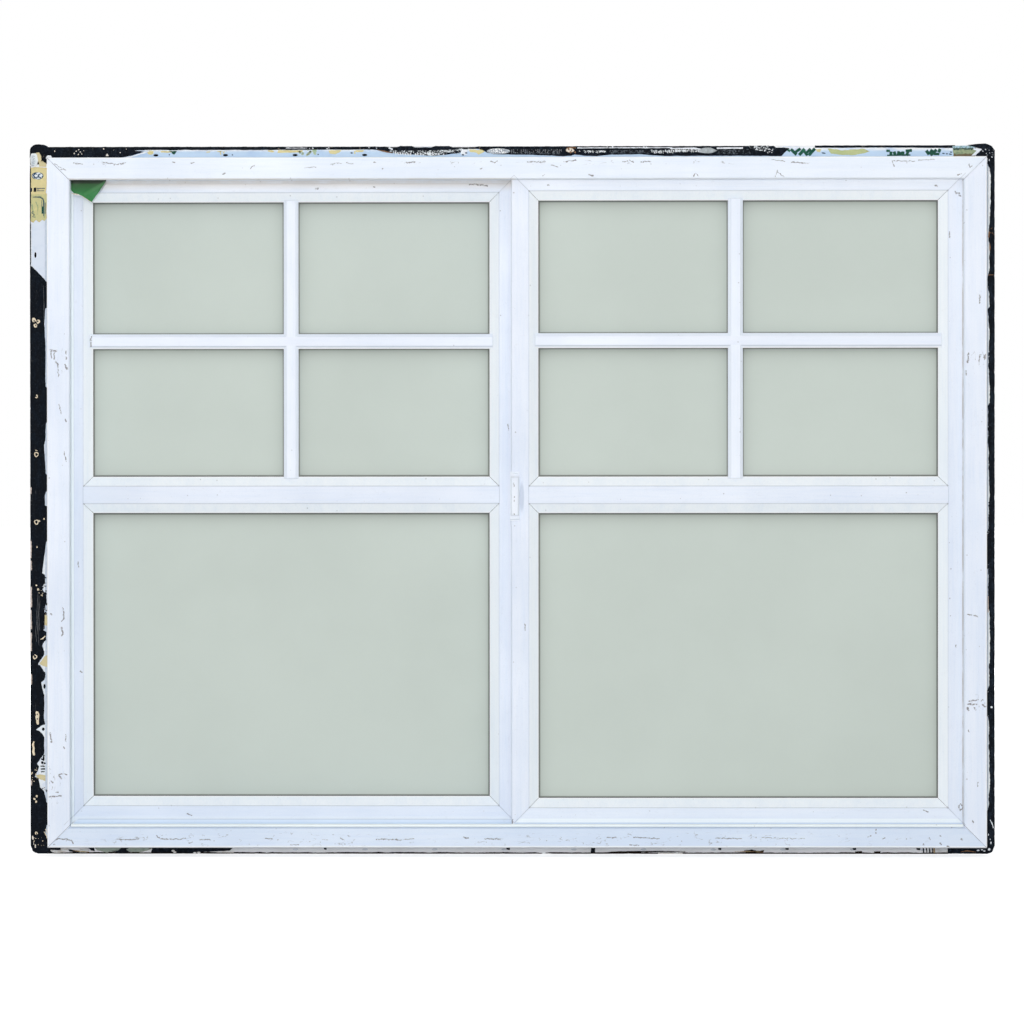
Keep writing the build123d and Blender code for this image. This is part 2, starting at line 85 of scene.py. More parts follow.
# Light: the level of the sky all round, and the level, place, width and height of each lamp
SKY_LEVEL = 0.37
BACKGROUND_LEVEL = 1.0
LAMPS = {
    "front_softbox": (0.455, (-0.33, -6.0, 1.0), 0.7, 1.8),
    "back_softbox": (0.46, (0.4, 6.0, 1.6), 1.6, 1.8),
    "top_softbox": (0.12, (0.0, -1.6, 3.2), 2.4, 2.4),
}


def screen(red, green, blue):
    """A colour as it reads on a screen, from 0 to 255, turned into light."""
    return tuple(((c / 255 + 0.055) / 1.055) ** 2.4 for c in (red, green, blue))


# Vinyl, from the brightest member to the bluest
HEAD_WHITE = screen(235, 242, 252)
JAMB_WHITE = screen(236, 242, 253)
SILL_WHITE = screen(225, 235, 249)
STILE_WHITE = screen(232, 238, 249)
RAIL_WHITE = screen(236, 242, 252)
BEAD_WHITE = screen(246, 251, 255)
BAR_WHITE = screen(234, 240, 251)
UPRIGHT_BAR_WHITE = screen(237, 243, 253)
LATCH_WHITE = screen(238, 243, 251)
GLASS_GREEN = screen(199, 209, 202)
FIN_GREY = screen(242, 242, 245)
# Dirt with painted shade, for crevices
CREVICE_DIRT_AND_SHADE = screen(118, 108, 102)
# Warm dust with painted shade, for under the head's lip
DUST_AND_SHADE_BEIGE = screen(204, 186, 160)
# Brown dirt with painted shade, for the corner by the right jamb
BROWN_DIRT_AND_SHADE = screen(140, 112, 92)
# Joint hairlines, and painted shade lines on the sill and the cross bar
JOINT_AND_SHADE_GREY = screen(120, 122, 134)
SCUFF_BROWN = screen(84, 72, 66)
RUST_BROWN = screen(150, 112, 82)

# Loose layers on the fin
TAR_BLACK = screen(4, 10, 18)
WRAP_BLUE = screen(194, 217, 241)
WRAP_PALE = screen(222, 230, 243)
PAPER_WHITE = screen(244, 247, 250)
TAPE_YELLOW = screen(221, 208, 154)
TAPE_OLIVE = screen(204, 200, 146)
TAN_PAPER = screen(217, 204, 160)
OLIVE_PAINT = screen(184, 194, 140)
INK_BLUE = screen(36, 66, 92)
INK_GREEN = screen(4, 70, 54)
LEAF_GREEN = screen(34, 98, 46)
TORN_BEIGE = screen(226, 205, 170)
NAIL_GREY = screen(176, 184, 188)


class Graph:
    """Builds a node tree one node at a time. Each input takes a socket or a plain value."""

    def __init__(self, tree):
        self.tree = tree

    def add(self, kind, **settings):
        node = self.tree.nodes.new(kind)
        for name, value in settings.items():
            setattr(node, name, value)
        return node

    def put(self, socket, value):
        if isinstance(value, bpy.types.NodeSocket):
            self.tree.links.new(value, socket)
        elif isinstance(value, tuple) and socket.type == "RGBA" and len(value) == 3:
            socket.default_value = (*value, 1)
        elif value is not None:
            socket.default_value = value

    def math(self, operation, a, b=None, clamp=False):
        node = self.add("ShaderNodeMath", operation=operation, use_clamp=clamp)
        self.put(node.inputs[0], a)
        self.put(node.inputs[1], b)
        return node.outputs[0]

    def most(self, values):
        """The largest of several values."""
        result = values[0]
        for value in values[1:]:
            result = self.math("MAXIMUM", result, value)
        return result

    def product(self, *values):
        result = values[0]
        for value in values[1:]:
            result = self.math("MULTIPLY", result, value)
        return result

    def vector(self, operation, a, b=None):
        node = self.add("ShaderNodeVectorMath", operation=operation)
        self.put(node.inputs[0], a)
        self.put(node.inputs[1], b)
        return node.outputs["Value" if operation in ("LENGTH", "DOT_PRODUCT") else "Vector"]

    def scaled(self, vector, factor):
        node = self.add("ShaderNodeVectorMath", operation="SCALE")
        self.put(node.inputs[0], vector)
        self.put(node.inputs["Scale"], factor)
        return node.outputs["Vector"]

    def join(self, x=0.0, y=0.0, z=0.0):
        node = self.add("ShaderNodeCombineXYZ")
        for socket, value in zip(node.inputs, (x, y, z)):
            self.put(socket, value)
        return node.outputs["Vector"]

    def split(self, place):
        node = self.add("ShaderNodeSeparateXYZ")
        self.put(node.inputs[0], place)
        return node.outputs

    def fade(self, value, low, high, start=0.0, end=1.0):
        """A smooth step of value between low and high."""
        node = self.add("ShaderNodeMapRange", interpolation_type="SMOOTHSTEP", clamp=False)
        for name, number in (("Value", value), ("From Min", low), ("From Max", high)):
            self.put(node.inputs[name], number)
        self.put(node.inputs["To Min"], start)
        self.put(node.inputs["To Max"], end)
        return node.outputs["Result"]

    def mix(self, share, a, b):
        node = self.add("ShaderNodeMix", data_type="RGBA")
        self.put(node.inputs["Factor"], share)
        self.put(node.inputs["A"], a)
        self.put(node.inputs["B"], b)
        return node.outputs["Result"]

    def noise(self, place, scale, detail=2.0, roughness=0.5):
        node = self.add("ShaderNodeTexNoise")
        self.put(node.inputs["Vector"], place)
        self.put(node.inputs["Scale"], scale)
        self.put(node.inputs["Detail"], detail)
        self.put(node.inputs["Roughness"], roughness)
        return node.outputs["Fac"]

    def bump(self, height, strength, distance):
        node = self.add("ShaderNodeBump")
        self.put(node.inputs["Height"], height)
        self.put(node.inputs["Strength"], strength)
        self.put(node.inputs["Distance"], distance)
        return node.outputs["Normal"]

    def group(self, tree, **values):
        node = self.add("ShaderNodeGroup", node_tree=tree)
        for name, value in values.items():
            self.put(node.inputs[name], value)
        return node.outputs


def shader_group(name, inputs, outputs):
    """An empty group with named sockets, its graph, and the sockets inside it."""
    tree = bpy.data.node_groups.new(name, "ShaderNodeTree")
    for label, kind, value in inputs:
        socket = tree.interface.new_socket(label, in_out="INPUT", socket_type="NodeSocket" + kind)
        if value is not None:
            socket.default_value = value
    for label, kind in outputs:
        tree.interface.new_socket(label, in_out="OUTPUT", socket_type="NodeSocket" + kind)
    graph = Graph(tree)
    return tree, graph, graph.add("NodeGroupInput").outputs, graph.add("NodeGroupOutput").inputs


def make_weathering_and_shade():
    """Streaks along a member, bluish lanes, soft clouds, fine grain, sparse dark specks, and painted shade that darkens
    it towards the bottom.
    """
    tree, g, given, result = shader_group(
        "weathered_shaded_vinyl",
        [("Place", "Vector", None), ("Grain", "Vector", (1.0, 1.0, 1.0)),
         ("Colour", "Color", (1, 1, 1, 1)), ("Wear", "Float", 1.0)],
        [("Colour", "Color"), ("Roughness", "Float"), ("Height", "Float")],
    )
    along = g.vector("MULTIPLY", given["Place"], given["Grain"])
    streak = g.noise(along, 300.0, 5.0, 0.62)
    lane = g.noise(along, 55.0, 3.0, 0.5)
    cloud = g.noise(given["Place"], 6.0, 4.0, 0.6)
    grain = g.noise(given["Place"], 620.0, 2.0, 0.6)
    tone = g.math("ADD", g.fade(streak, 0.42, 0.72, 0.0, 0.4), g.fade(lane, 0.42, 0.66, 0.0, 0.35))
    tone = g.math("ADD", tone, g.fade(cloud, 0.4, 0.68, 0.0, 0.35))
    tone = g.math("ADD", tone, g.fade(grain, 0.45, 0.75, 0.0, 0.3))
    # Painted shade: the vinyl darkens towards the bottom of the window, where less light falls.
    painted_low_shade = g.fade(g.split(given["Place"])["Z"], FRAME_TOP, FRAME_BOTTOM, 0.0, 0.42)
    tone = g.math("ADD", tone, painted_low_shade)
    shade = g.vector("MULTIPLY", given["Colour"], (0.86, 0.90, 0.955))
    body = g.mix(g.product(tone, given["Wear"], 0.8), given["Colour"], shade)
    where = g.split(given["Place"])
    flat = g.join(where["X"], where["Z"])
    cell = g.add("ShaderNodeTexVoronoi", voronoi_dimensions="2D")
    g.put(cell.inputs["Vector"], flat)
    g.put(cell.inputs["Scale"], 46.0)
    chosen = g.fade(g.split(cell.outputs["Color"])["X"], 0.72, 0.8)
    size = g.math("MULTIPLY", g.split(cell.outputs["Color"])["Y"], 0.05)
    speck = g.fade(g.math("SUBTRACT", cell.outputs["Distance"], size), 0.012, -0.012)
    body = g.mix(g.product(speck, chosen, given["Wear"], 0.42), body, SCUFF_BROWN)
    g.put(result["Colour"], body)
    g.put(result["Roughness"], g.fade(cloud, 0.25, 0.75, 0.4, 0.56))
    g.put(result["Height"], g.math("ADD", streak, g.math("MULTIPLY", grain, 0.5)))
    return tree


def make_scratches():
    """Thin wavy broken lines, which show only inside the zone that is given."""
    tree, g, given, result = shader_group(
        "wavy_scratches",
        [("Place", "Vector", None), ("Grain", "Vector", (1.0, 1.0, 1.0)), ("Zone", "Float", 1.0)],
        [("Mask", "Float")],
    )
    along = g.vector("MULTIPLY", given["Place"], given["Grain"])
    field = g.noise(along, 95.0, 3.0, 0.55)
    line = g.fade(g.math("ABSOLUTE", g.math("SUBTRACT", field, 0.5)), 0.011, 0.003)
    broken = g.fade(g.noise(given["Place"], 120.0, 2.0, 0.5), 0.5, 0.58)
    g.put(result["Mask"], g.product(line, broken, given["Zone"]))
    return tree


def make_zone():
    """1 in an oval area and 0 well outside it."""
    tree, g, given, result = shader_group(
        "oval_zone",
        [("Place", "Vector", None), ("Centre", "Vector", (0.0, 0.0, 0.0)), ("Reach", "Vector", (1.0, 1.0, 1.0))],
        [("Mask", "Float")],
    )
    offset = g.vector("SUBTRACT", given["Place"], given["Centre"])
    far = g.vector("LENGTH", g.vector("DIVIDE", offset, given["Reach"]))
    g.put(result["Mask"], g.fade(far, 1.0, 0.55))
    return tree


def make_stroke():
    """1 on a straight scratch from one point to another."""
    tree, g, given, result = shader_group(
        "scratch_stroke",
        [("Place", "Vector", None), ("Start", "Vector", (0.0, 0.0, 0.0)),
         ("End", "Vector", (0.0, 0.0, 0.0)), ("Width", "Float", 0.001)],
        [("Mask", "Float")],
    )
    run = g.vector("SUBTRACT", given["End"], given["Start"])
    offset = g.vector("SUBTRACT", given["Place"], given["Start"])
    share = g.math("DIVIDE", g.vector("DOT_PRODUCT", offset, run), g.vector("DOT_PRODUCT", run, run))
    share = g.math("MINIMUM", g.math("MAXIMUM", share, 0.0), 1.0)
    gap = g.vector("LENGTH", g.vector("SUBTRACT", offset, g.scaled(run, share)))
    inner = g.math("MULTIPLY", given["Width"], 0.25)
    g.put(result["Mask"], g.fade(gap, given["Width"], inner))
    return tree


def make_sash_places():
    """How far a point is beside and beyond the nearest glazing bead's outer corner, in metres."""
    tree, g, given, result = shader_group(
        "sash_places",
        [("Place", "Vector", None)],
        [("Beside", "Float"), ("Beyond", "Float"), ("Height", "Float")],
    )
    left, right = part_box("left_sash_upper_beads"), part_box("right_sash_upper_beads")
    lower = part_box("left_sash_lower_beads")
    middles = (left[0].x + left[1].x) / 2, (right[0].x + right[1].x) / 2
    half = (left[1].x - left[0].x) / 2
    where = g.split(given["Place"])
    from_middle = g.math("ABSOLUTE", g.math("SUBTRACT", where["X"], sum(middles) / 2))
    across = g.math("ABSOLUTE", g.math("SUBTRACT", from_middle, (middles[1] - middles[0]) / 2))
    g.put(result["Beside"], g.math("SUBTRACT", across, half))
    beyond = []
    for low, high in (left, lower):
        above = g.math("SUBTRACT", where["Z"], high.z)
        below = g.math("SUBTRACT", low.z, where["Z"])
        beyond.append(g.math("MAXIMUM", above, below))
    g.put(result["Beyond"], g.math("MINIMUM", *beyond))
    g.put(result["Height"], where["Z"])
    return tree


def make_joint_lines(sash_places):
    """Thin dark lines along the mitred corners, and the dots where the beads' corners meet."""
    tree, g, given, result = shader_group(
        "joint_lines", [("Place", "Vector", None)], [("Lines", "Float"), ("Dots", "Float")]
    )
    spot = g.group(sash_places, Place=given["Place"])
    beside, beyond = spot["Beside"], spot["Beyond"]
    beads_low, beads_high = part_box("left_sash_lower_beads")[0].z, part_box("left_sash_upper_beads")[1].z
    in_height = g.product(
        g.math("GREATER_THAN", spot["Height"], beads_low), g.math("LESS_THAN", spot["Height"], beads_high)
    )
    slant = g.math("ABSOLUTE", g.math("SUBTRACT", beside, beyond))
    reach = g.math("MAXIMUM", g.math("LESS_THAN", beside, 0.0), g.math("SUBTRACT", 1.0, in_height))
    near = g.math("LESS_THAN", g.math("ABSOLUTE", g.math("SUBTRACT", beside, 5 * MM)), 20 * MM)
    near_end = g.math("LESS_THAN", beyond, 25 * MM)
    mitre = g.product(g.fade(slant, 0.8 * MM, 0.3 * MM), reach, near, near_end, 0.5)
    where = g.split(given["Place"])
    from_side = g.math("SUBTRACT", FRAME_RIGHT, g.math("ABSOLUTE", where["X"]))
    from_head = g.math("SUBTRACT", FRAME_TOP, where["Z"])
    from_sill = g.math("SUBTRACT", where["Z"], FRAME_BOTTOM)
    from_end = g.math("MINIMUM", from_head, from_sill)
    corner = g.math("ABSOLUTE", g.math("SUBTRACT", from_side, from_end))
    frame_joint = g.product(g.fade(corner, 0.9 * MM, 0.3 * MM), g.math("LESS_THAN", from_side, 34 * MM))
    lines = g.math("MAXIMUM", mitre, frame_joint)
    broken = g.fade(g.noise(given["Place"], 45.0, 3.0, 0.6), 0.34, 0.5, 0.35, 1.0)
    g.put(result["Lines"], g.math("MULTIPLY", lines, broken))
    corner_gap = g.vector("LENGTH", g.join(beside, beyond))
    g.put(result["Dots"], g.fade(corner_gap, 1.6 * MM, 0.7 * MM))
    return tree


def make_pane_edges():
    """Shade on the glass under, beside and above the edges of its panes, and a dark line along them."""
    tree, g, given, result = shader_group(
        "pane_edges", [("Place", "Vector", None)],
        [("Under", "Float"), ("Beside", "Float"), ("Above", "Float"), ("Line", "Float")],
    )
    where = g.split(given["Place"])
    upper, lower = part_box("left_sash_upper_beads"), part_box("left_sash_lower_beads")
    bars = {sash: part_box(sash + "_sash_room_cross_bar") for sash in ("left", "right")}
    uprights = {sash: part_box(sash + "_sash_room_upright_bars") for sash in ("left", "right")}
    tops = [upper[1].z - PANE_INSET, bars["left"][0].z, lower[1].z - PANE_INSET]
    bottoms = [upper[0].z + PANE_INSET, bars["left"][1].z, lower[0].z + PANE_INSET]
    in_upper = g.math("GREATER_THAN", where["Z"], upper[0].z)
    gaps = {"Under": [g.math("SUBTRACT", top, where["Z"]) for top in tops],
            "Above": [g.math("SUBTRACT", where["Z"], bottom) for bottom in bottoms], "Beside": []}
    for sash, bar in uprights.items():
        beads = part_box(sash + "_sash_upper_beads")
        gaps["Beside"].append(g.math("SUBTRACT", where["X"], beads[0].x + PANE_INSET))
        gaps["Beside"].append(g.math("SUBTRACT", beads[1].x - PANE_INSET, where["X"]))
        from_bar = g.math("SUBTRACT", g.math("ABSOLUTE", g.math("SUBTRACT", where["X"], (bar[0].x + bar[1].x) / 2)),
                          (bar[1].x - bar[0].x) / 2)
        lower_down = g.math("SUBTRACT", 1.0, in_upper)
        gaps["Beside"].append(g.math("ADD", from_bar, lower_down))
    for label, distances in gaps.items():
        shades = []
        for distance in distances:
            inside = g.math("GREATER_THAN", distance, -0.2 * MM)
            fall = g.math("POWER", 0.5, g.math("DIVIDE", g.math("ABSOLUTE", distance), 6.0 * MM))
            shades.append(g.math("MULTIPLY", inside, fall))
        g.put(result[label], g.most(shades))
    edges = [g.math("ABSOLUTE", distance) for distances in gaps.values() for distance in distances]
    closest = edges[0]
    for edge in edges[1:]:
        closest = g.math("MINIMUM", closest, edge)
    g.put(result["Line"], g.fade(closest, 2.3 * MM, 1.2 * MM))
    return tree


WEATHERING_AND_SHADE = make_weathering_and_shade()
SCRATCHES = make_scratches()
ZONE = make_zone()
STROKE = make_stroke()
SASH_PLACES = make_sash_places()
JOINT_LINES = make_joint_lines(SASH_PLACES)
PANE_EDGES = make_pane_edges()

UPRIGHT_GRAIN = (1.0, 1.0, 0.05)
LEVEL_GRAIN = (0.05, 1.0, 1.0)

# Scratches on the frame's room face, in mm: how far down or along a member the stroke starts and how
# far in from the frame's edge, where it ends, and how wide it is
LEFT_JAMB_STROKES = [
    ((279, 5), (280, 14), 1.6), ((280, 6), (290, 7), 0.9), ((281, 10.5), (292, 11), 1.0),
    ((280, 27.5), (284, 27.5), 1.2), ((289, 28), (291, 28), 1.0), ((296, 13), (299, 15.5), 1.4),
    ((299, 15.5), (317, 17), 0.7), ((300, 26), (307, 29.5), 1.3), ((357, 18), (371, 20.5), 0.7),
    ((380, 26.5), (382, 28), 1.3), ((426, 25), (440, 28), 0.9), ((661, 5), (662, 6.5), 1.2),
    ((651, 22), (657, 24.5), 0.8), ((657, 24.5), (668, 24), 1.1), ((668, 24), (672, 21), 1.0),
    ((680, 21), (690, 23), 1.2), ((690, 23), (692, 22), 1.3), ((834, 4), (847, 6), 1.4),
    ((836, 27), (845, 26.5), 0.8), ((854, 24), (856, 25), 1.0), ((893, 26), (894, 28), 1.2),
    ((895, 17), (900, 20), 1.2), ((894, 17.5), (893, 21.5), 1.3), ((903, 5), (905, 8), 1.1),
    ((920, 12), (919, 16), 0.8), ((926, 4), (925, 20), 1.2),
]
RIGHT_JAMB_STROKES = [
    ((201, 10.5), (212, 11), 1.1), ((285, 27), (297, 28), 1.4), ((287, 9), (291, 10.5), 1.4),
    ((287, 3), (293, 4), 1.5), ((293, 11), (301, 12), 0.9), ((310, 30), (316, 30), 1.0),
    ((662, 28), (663, 22), 0.9), ((664, 19), (665, 14), 1.0), ((787, 26), (786, 13), 1.1),
    ((787, 9), (786, 6), 1.0), ((792, 28), (792, 15), 1.5), ((793, 6), (795, 3), 1.8),
    ((797, 28), (801, 27), 1.5), ((797, 18), (800, 17), 1.2), ((830, 27), (832, 26), 0.8),
    ((905, 13), (911, 14), 0.8), ((960, 22), (964, 20), 0.9),
]
SILL_STROKES = [
    ((9.7, 11.6), (16.2, 13), 1.2), ((16.2, 13), (27.7, 13), 1.0), ((27.7, 13), (35, 10.1), 1.1),
    ((35, 10.1), (37.1, 5.8), 1.3), ((9.5, 5), (10.5, 5.2), 1.3), ((101, 12.5), (118, 11.5), 0.8),
    ((118, 11.5), (133, 13), 0.9), ((158.5, 17.5), (164, 13), 1.2), ((164, 13), (186, 12.5), 0.9),
    ((186, 12.5), (200, 13.5), 0.8), ((221, 11.6), (236, 11.8), 0.9), ((205, 7), (210, 8), 0.8),
    ((316, 13.5), (326, 13), 0.8), ((425, 14), (430, 11.5), 0.8), ((477, 12.8), (500, 12.2), 1.0),
    ((500, 12.2), (512, 11.6), 0.9), ((512, 11.6), (531, 13), 0.6), ((603, 15.5), (610, 14), 0.8),
    ((634, 13.5), (656, 12.8), 0.9), ((811, 15), (824, 15.4), 0.9), ((849, 16), (868, 14.4), 1.0),
    ((868, 14.4), (886, 13.8), 0.8), ((844, 4.4), (857, 4), 0.9), ((968, 14), (1006, 13.6), 0.8),
    ((1034, 15), (1060, 14), 0.5), ((1060, 14), (1097, 13.6), 0.5), ((1199.5, 31.8), (1199.5, 31.2), 1.1),
    ((1199.5, 27), (1199.5, 26.2), 1.1), ((1199.5, 22), (1199.5, 21), 1.1), ((1188, 16.2), (1192, 17.4), 0.8),
    ((1209, 13.5), (1212, 14.8), 1.0), ((1213, 31.6), (1222, 31.4), 0.9), ((1277, 15), (1278, 12), 0.9),
    ((1268, 5.5), (1269, 4.5), 1.2), ((1292, 6.5), (1293.5, 5.5), 1.2), ((1302, 2.5), (1305, 2.4), 1.3),
    ((1323, 13.2), (1324.5, 12.2), 1.2), ((1291.5, 17.6), (1293, 16.8), 1.0), ((352, 4), (364, 4.4), 0.8),
]
HEAD_STROKES = [
    ((39, 8), (52, 10), 0.9), ((83, 7.5), (100, 9.5), 0.8), ((98, 10.5), (115, 7.5), 0.8),
    ((11, 9), (28, 18), 0.6), ((28, 18), (20, 17), 0.6), ((182.5, 7), (185.5, 7), 0.9),
    ((209, 8), (214, 8), 0.7), ((255, 24), (259, 23.5), 1.1), ((295.5, 17), (297, 14), 0.8),
    ((297, 14), (301, 12.5), 0.8), ((411, 10), (428, 8.5), 0.6), ((434.5, 8.5), (444, 9), 0.8),
    ((474, 7.5), (475.5, 7.5), 1.0), ((486, 16.5), (487.5, 16.5), 1.0), ((521, 8.5), (534, 7), 1.0),
    ((373.5, 15.5), (391, 14), 0.5), ((643, 6), (648, 8.5), 0.6), ((648, 8.5), (653, 6), 0.6),
    ((628, 17), (630, 16.5), 1.0), ((696, 7), (722, 7), 1.1), ((749, 7), (767, 5), 1.0),
    ((730, 12), (740, 15), 0.7), ((718, 27.5), (721, 25.5), 0.9), ((784, 26), (792, 27.5), 1.1),
    ((834, 7), (841, 6.5), 0.9), ((844, 4.5), (850, 9), 0.9), ((860.5, 7.5), (874, 7), 0.9),
    ((936.5, 28.5), (938, 24.5), 0.8), ((938, 24.5), (943, 27.5), 0.8), ((1077, 8), (1101, 10), 0.8),
    ((1049, 4.5), (1068, 7), 0.5), ((1223, 6.5), (1226, 14), 0.8), ((1226, 6.5), (1255, 7), 0.8),
    ((1261.5, 5.5), (1284, 4.5), 0.7), ((1055, 28.5), (1057, 20.5), 0.7), ((1057, 22), (1067, 29), 0.6),
    ((1334, 11), (1335, 16), 0.9), ((1335, 16), (1338, 14), 0.8), ((1317, 27), (1323, 25.5), 0.9),
]
# Marks on the sashes' room faces: the sash, and how far right and up in mm each mark starts and ends
RAIL_STROKES = [
    (("left", -292, 964), ("left", -289, 964), 1.4), (("left", -207.5, 966), ("left", -206, 966), 1.2),
    (("left", -67.7, 970), ("left", -55, 969.5), 1.3), (("left", -55, 969.5), ("left", -41.5, 968), 1.1),
    (("right", 45.4, 967), ("right", 47, 966.5), 1.3), (("right", 178.8, 951), ("right", 181, 950.5), 1.3),
    # The two marks at 973 on the right sash's left edge are painted shade: dark spots under the head's lip.
    (("right", 607, 965), ("right", 609.5, 964), 1.2), (("right", -5.8, 973), ("right", -5.2, 972.5), 1.8),
    (("right", -1.2, 973), ("right", -0.6, 972.6), 1.8), (("right", 590, 60), ("right", 596, 58), 0.9),
    (("left", -480, 52), ("left", -474, 50), 1.0),
]
STILE_STROKES = [
    (("right", 635.5, 956), ("right", 637, 954), 1.3), (("right", 638, 954.6), ("right", 641.5, 953.5), 1.1),
    (("right", 640.5, 951), ("right", 642.8, 950), 1.3), (("right", 627.6, 898), ("right", 627.2, 890), 0.9),
    # The mark from (-6.2, 46) to (-6, 40) is painted shade in the gap at the foot of the right sash's meeting edge.
    (("right", 22.6, 935.6), ("right", 23.4, 934.8), 1.6), (("right", -6.2, 46), ("right", -6, 40), 1.4),
    (("right", 639.9, 66), ("right", 643.2, 69), 1.1), (("right", 643.2, 69), ("right", 646.4, 65), 1.1),
    (("right", 646.4, 65), ("right", 643.4, 60), 1.1), (("right", 643.4, 60), ("right", 639.9, 66), 1.1),
    (("right", 636, 300), ("right", 636.4, 296), 1.0), (("left", -640, 420), ("left", -639, 412), 0.9),
    (("left", -636, 260), ("left", -634, 259), 1.1), (("left", -12, 620), ("left", -11.4, 611), 0.9),
    (("left", -628, 820), ("left", -627, 819), 1.3), (("right", 12, 330), ("right", 12.6, 322), 0.8),
]
BAR_STROKES = [
    (("bars", -619.8, 752), ("bars", -620.8, 741), 1.4), (("bars", -620.8, 741), ("bars", -619.8, 730.5), 1.4),
]
SASH_FACES = {"left": -0.002, "right": -0.036, "bars": 0.0}
LATCH_STROKES = [
    ((17, 5), (22, 5.5), 0.7), ((36.4, 6), (37.6, 6), 1.0), ((42, 6), (43.4, 6.4), 1.0),
    ((61, 6), (63, 6.5), 1.0), ((65, 2), (65, 11), 0.9),
]


def on_frame(side, along, inward):
    """A point on the frame's room face, given in mm down or along a member and in from its edge."""
    if side == "left":
        return FRAME_LEFT + inward * MM, FRAME_FACE, FRAME_TOP - along * MM
    if side == "right":
        return FRAME_RIGHT - inward * MM, FRAME_FACE, FRAME_TOP - along * MM
    if side == "top":
        return FRAME_LEFT + along * MM, FRAME_FACE, FRAME_TOP - inward * MM
    return FRAME_LEFT + along * MM, FRAME_FACE, FRAME_BOTTOM + inward * MM


def on_latch(down, across):
    """A point on the latch's lever, in mm down from the plate's top and in from its left edge."""
    low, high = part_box("latch_base")
    return low.x + across * MM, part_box("latch_lever")[0].y, high.z - down * MM


def on_sash(sash, right, up):
    """A point on a sash's room face, or on the left sash's bars, in mm from the shared frame's zero."""
    return right * MM, SASH_FACES[sash], up * MM


def new_material(name):
    material = bpy.data.materials.new(name)
    material.use_nodes = True
    graph = Graph(material.node_tree)
    shader = material.node_tree.nodes["Principled BSDF"]
    place = graph.add("ShaderNodeTexCoord").outputs["Object"]
    return material, graph, shader, place


def drawn_strokes(g, place, strokes, point_at):
    """All of a member's scratches in one mask, with wavering and broken lines."""
    waver = g.add("ShaderNodeTexNoise")
    g.put(waver.inputs["Vector"], place)
    g.put(waver.inputs["Scale"], 240.0)
    shift = g.scaled(g.vector("SUBTRACT", waver.outputs["Color"], (0.5, 0.5, 0.5)), 4.0 * MM)
    shift = g.vector("MULTIPLY", shift, (1.0, 0.0, 1.0))
    moved = g.vector("ADD", place, shift)
    masks = []
    for start, end, width in strokes:
        values = {"Start": point_at(*start), "End": point_at(*end), "Width": width * 1.25 * MM}
        masks.append(g.group(STROKE, Place=moved, **values)["Mask"])
    broken = g.fade(g.noise(place, 420.0, 2.0, 0.6), 0.34, 0.52, 0.1, 1.0)
    return g.math("MULTIPLY", g.most(masks), broken)


def vinyl(name, colour, grain, wear=1.0, strokes=(), point_at=None, zones=(), extra=None, depth=0.85):
    """Weathered satin vinyl: streaks along the member, painted shade towards the bottom, hairlines at its joints,
    scratches, and dirt with painted shade in its crevices.
    """
    material, g, shader, place = new_material(name)
    # The weathered colour also carries the painted shade towards the bottom.
    worn = g.group(WEATHERING_AND_SHADE, Place=place, Grain=grain, Colour=colour, Wear=wear)
    body = worn["Colour"]
    if extra:
        body = extra(g, place, body)
    joints = g.group(JOINT_LINES, Place=place)
    body = g.mix(g.math("MULTIPLY", joints["Lines"], 0.7), body, JOINT_AND_SHADE_GREY)
    body = g.mix(g.math("MULTIPLY", joints["Dots"], 0.7), body, SCUFF_BROWN)
    spots = [g.group(ZONE, Place=place, Centre=centre, Reach=reach)["Mask"] for centre, reach in zones]
    zone = g.most([0.0, *spots]) if spots else 0.0
    spread = g.math("ADD", zone, 0.10 * wear)
    scratch = g.group(SCRATCHES, Place=place, Grain=grain_of_scratches(grain), Zone=spread)["Mask"]
    marks = g.math("MULTIPLY", scratch, 0.55)
    if strokes:
        marks = g.math("MAXIMUM", marks, drawn_strokes(g, place, strokes, point_at))
    body = g.mix(g.math("MULTIPLY", marks, depth), body, SCUFF_BROWN)
    # Dirt and painted shade in crevices: darker where ambient occlusion finds the surface hemmed in.
    joint = g.add("ShaderNodeAmbientOcclusion", samples=6)
    g.put(joint.inputs["Distance"], 3.0 * MM)
    crevice_dirt_and_shade = g.fade(joint.outputs["AO"], 0.6, 0.2)
    body = g.mix(g.math("MULTIPLY", crevice_dirt_and_shade, 0.22), body, CREVICE_DIRT_AND_SHADE)
    g.put(shader.inputs["Base Color"], body)
    g.put(shader.inputs["Roughness"], worn["Roughness"])
    height = g.math("SUBTRACT", worn["Height"], g.math("MULTIPLY", marks, 0.6))
    g.put(shader.inputs["Normal"], g.bump(height, 0.15, 0.5 * MM))
    return material


def grain_of_scratches(grain):
    """Scratches run along the member too, but less straight than its streaks."""
    return tuple(0.3 if g < 1 else 1.0 for g in grain)


def painted_edge_highlight(g, place, body):
    """A painted highlight: the pale line along the frame's outer edge."""
    where = g.split(place)
    from_side = g.math("SUBTRACT", FRAME_RIGHT, g.math("ABSOLUTE", where["X"]))
    from_end = g.math(
        "MINIMUM", g.math("SUBTRACT", FRAME_TOP, where["Z"]), g.math("SUBTRACT", where["Z"], FRAME_BOTTOM)
    )
    rim = g.fade(g.math("MINIMUM", from_side, from_end), 2.4 * MM, 1.2 * MM)
    patchy = g.fade(g.noise(place, 60.0, 3.0, 0.6), 0.3, 0.55, 0.4, 1.0)
    return g.mix(g.product(rim, patchy, 0.85), body, screen(251, 253, 255))


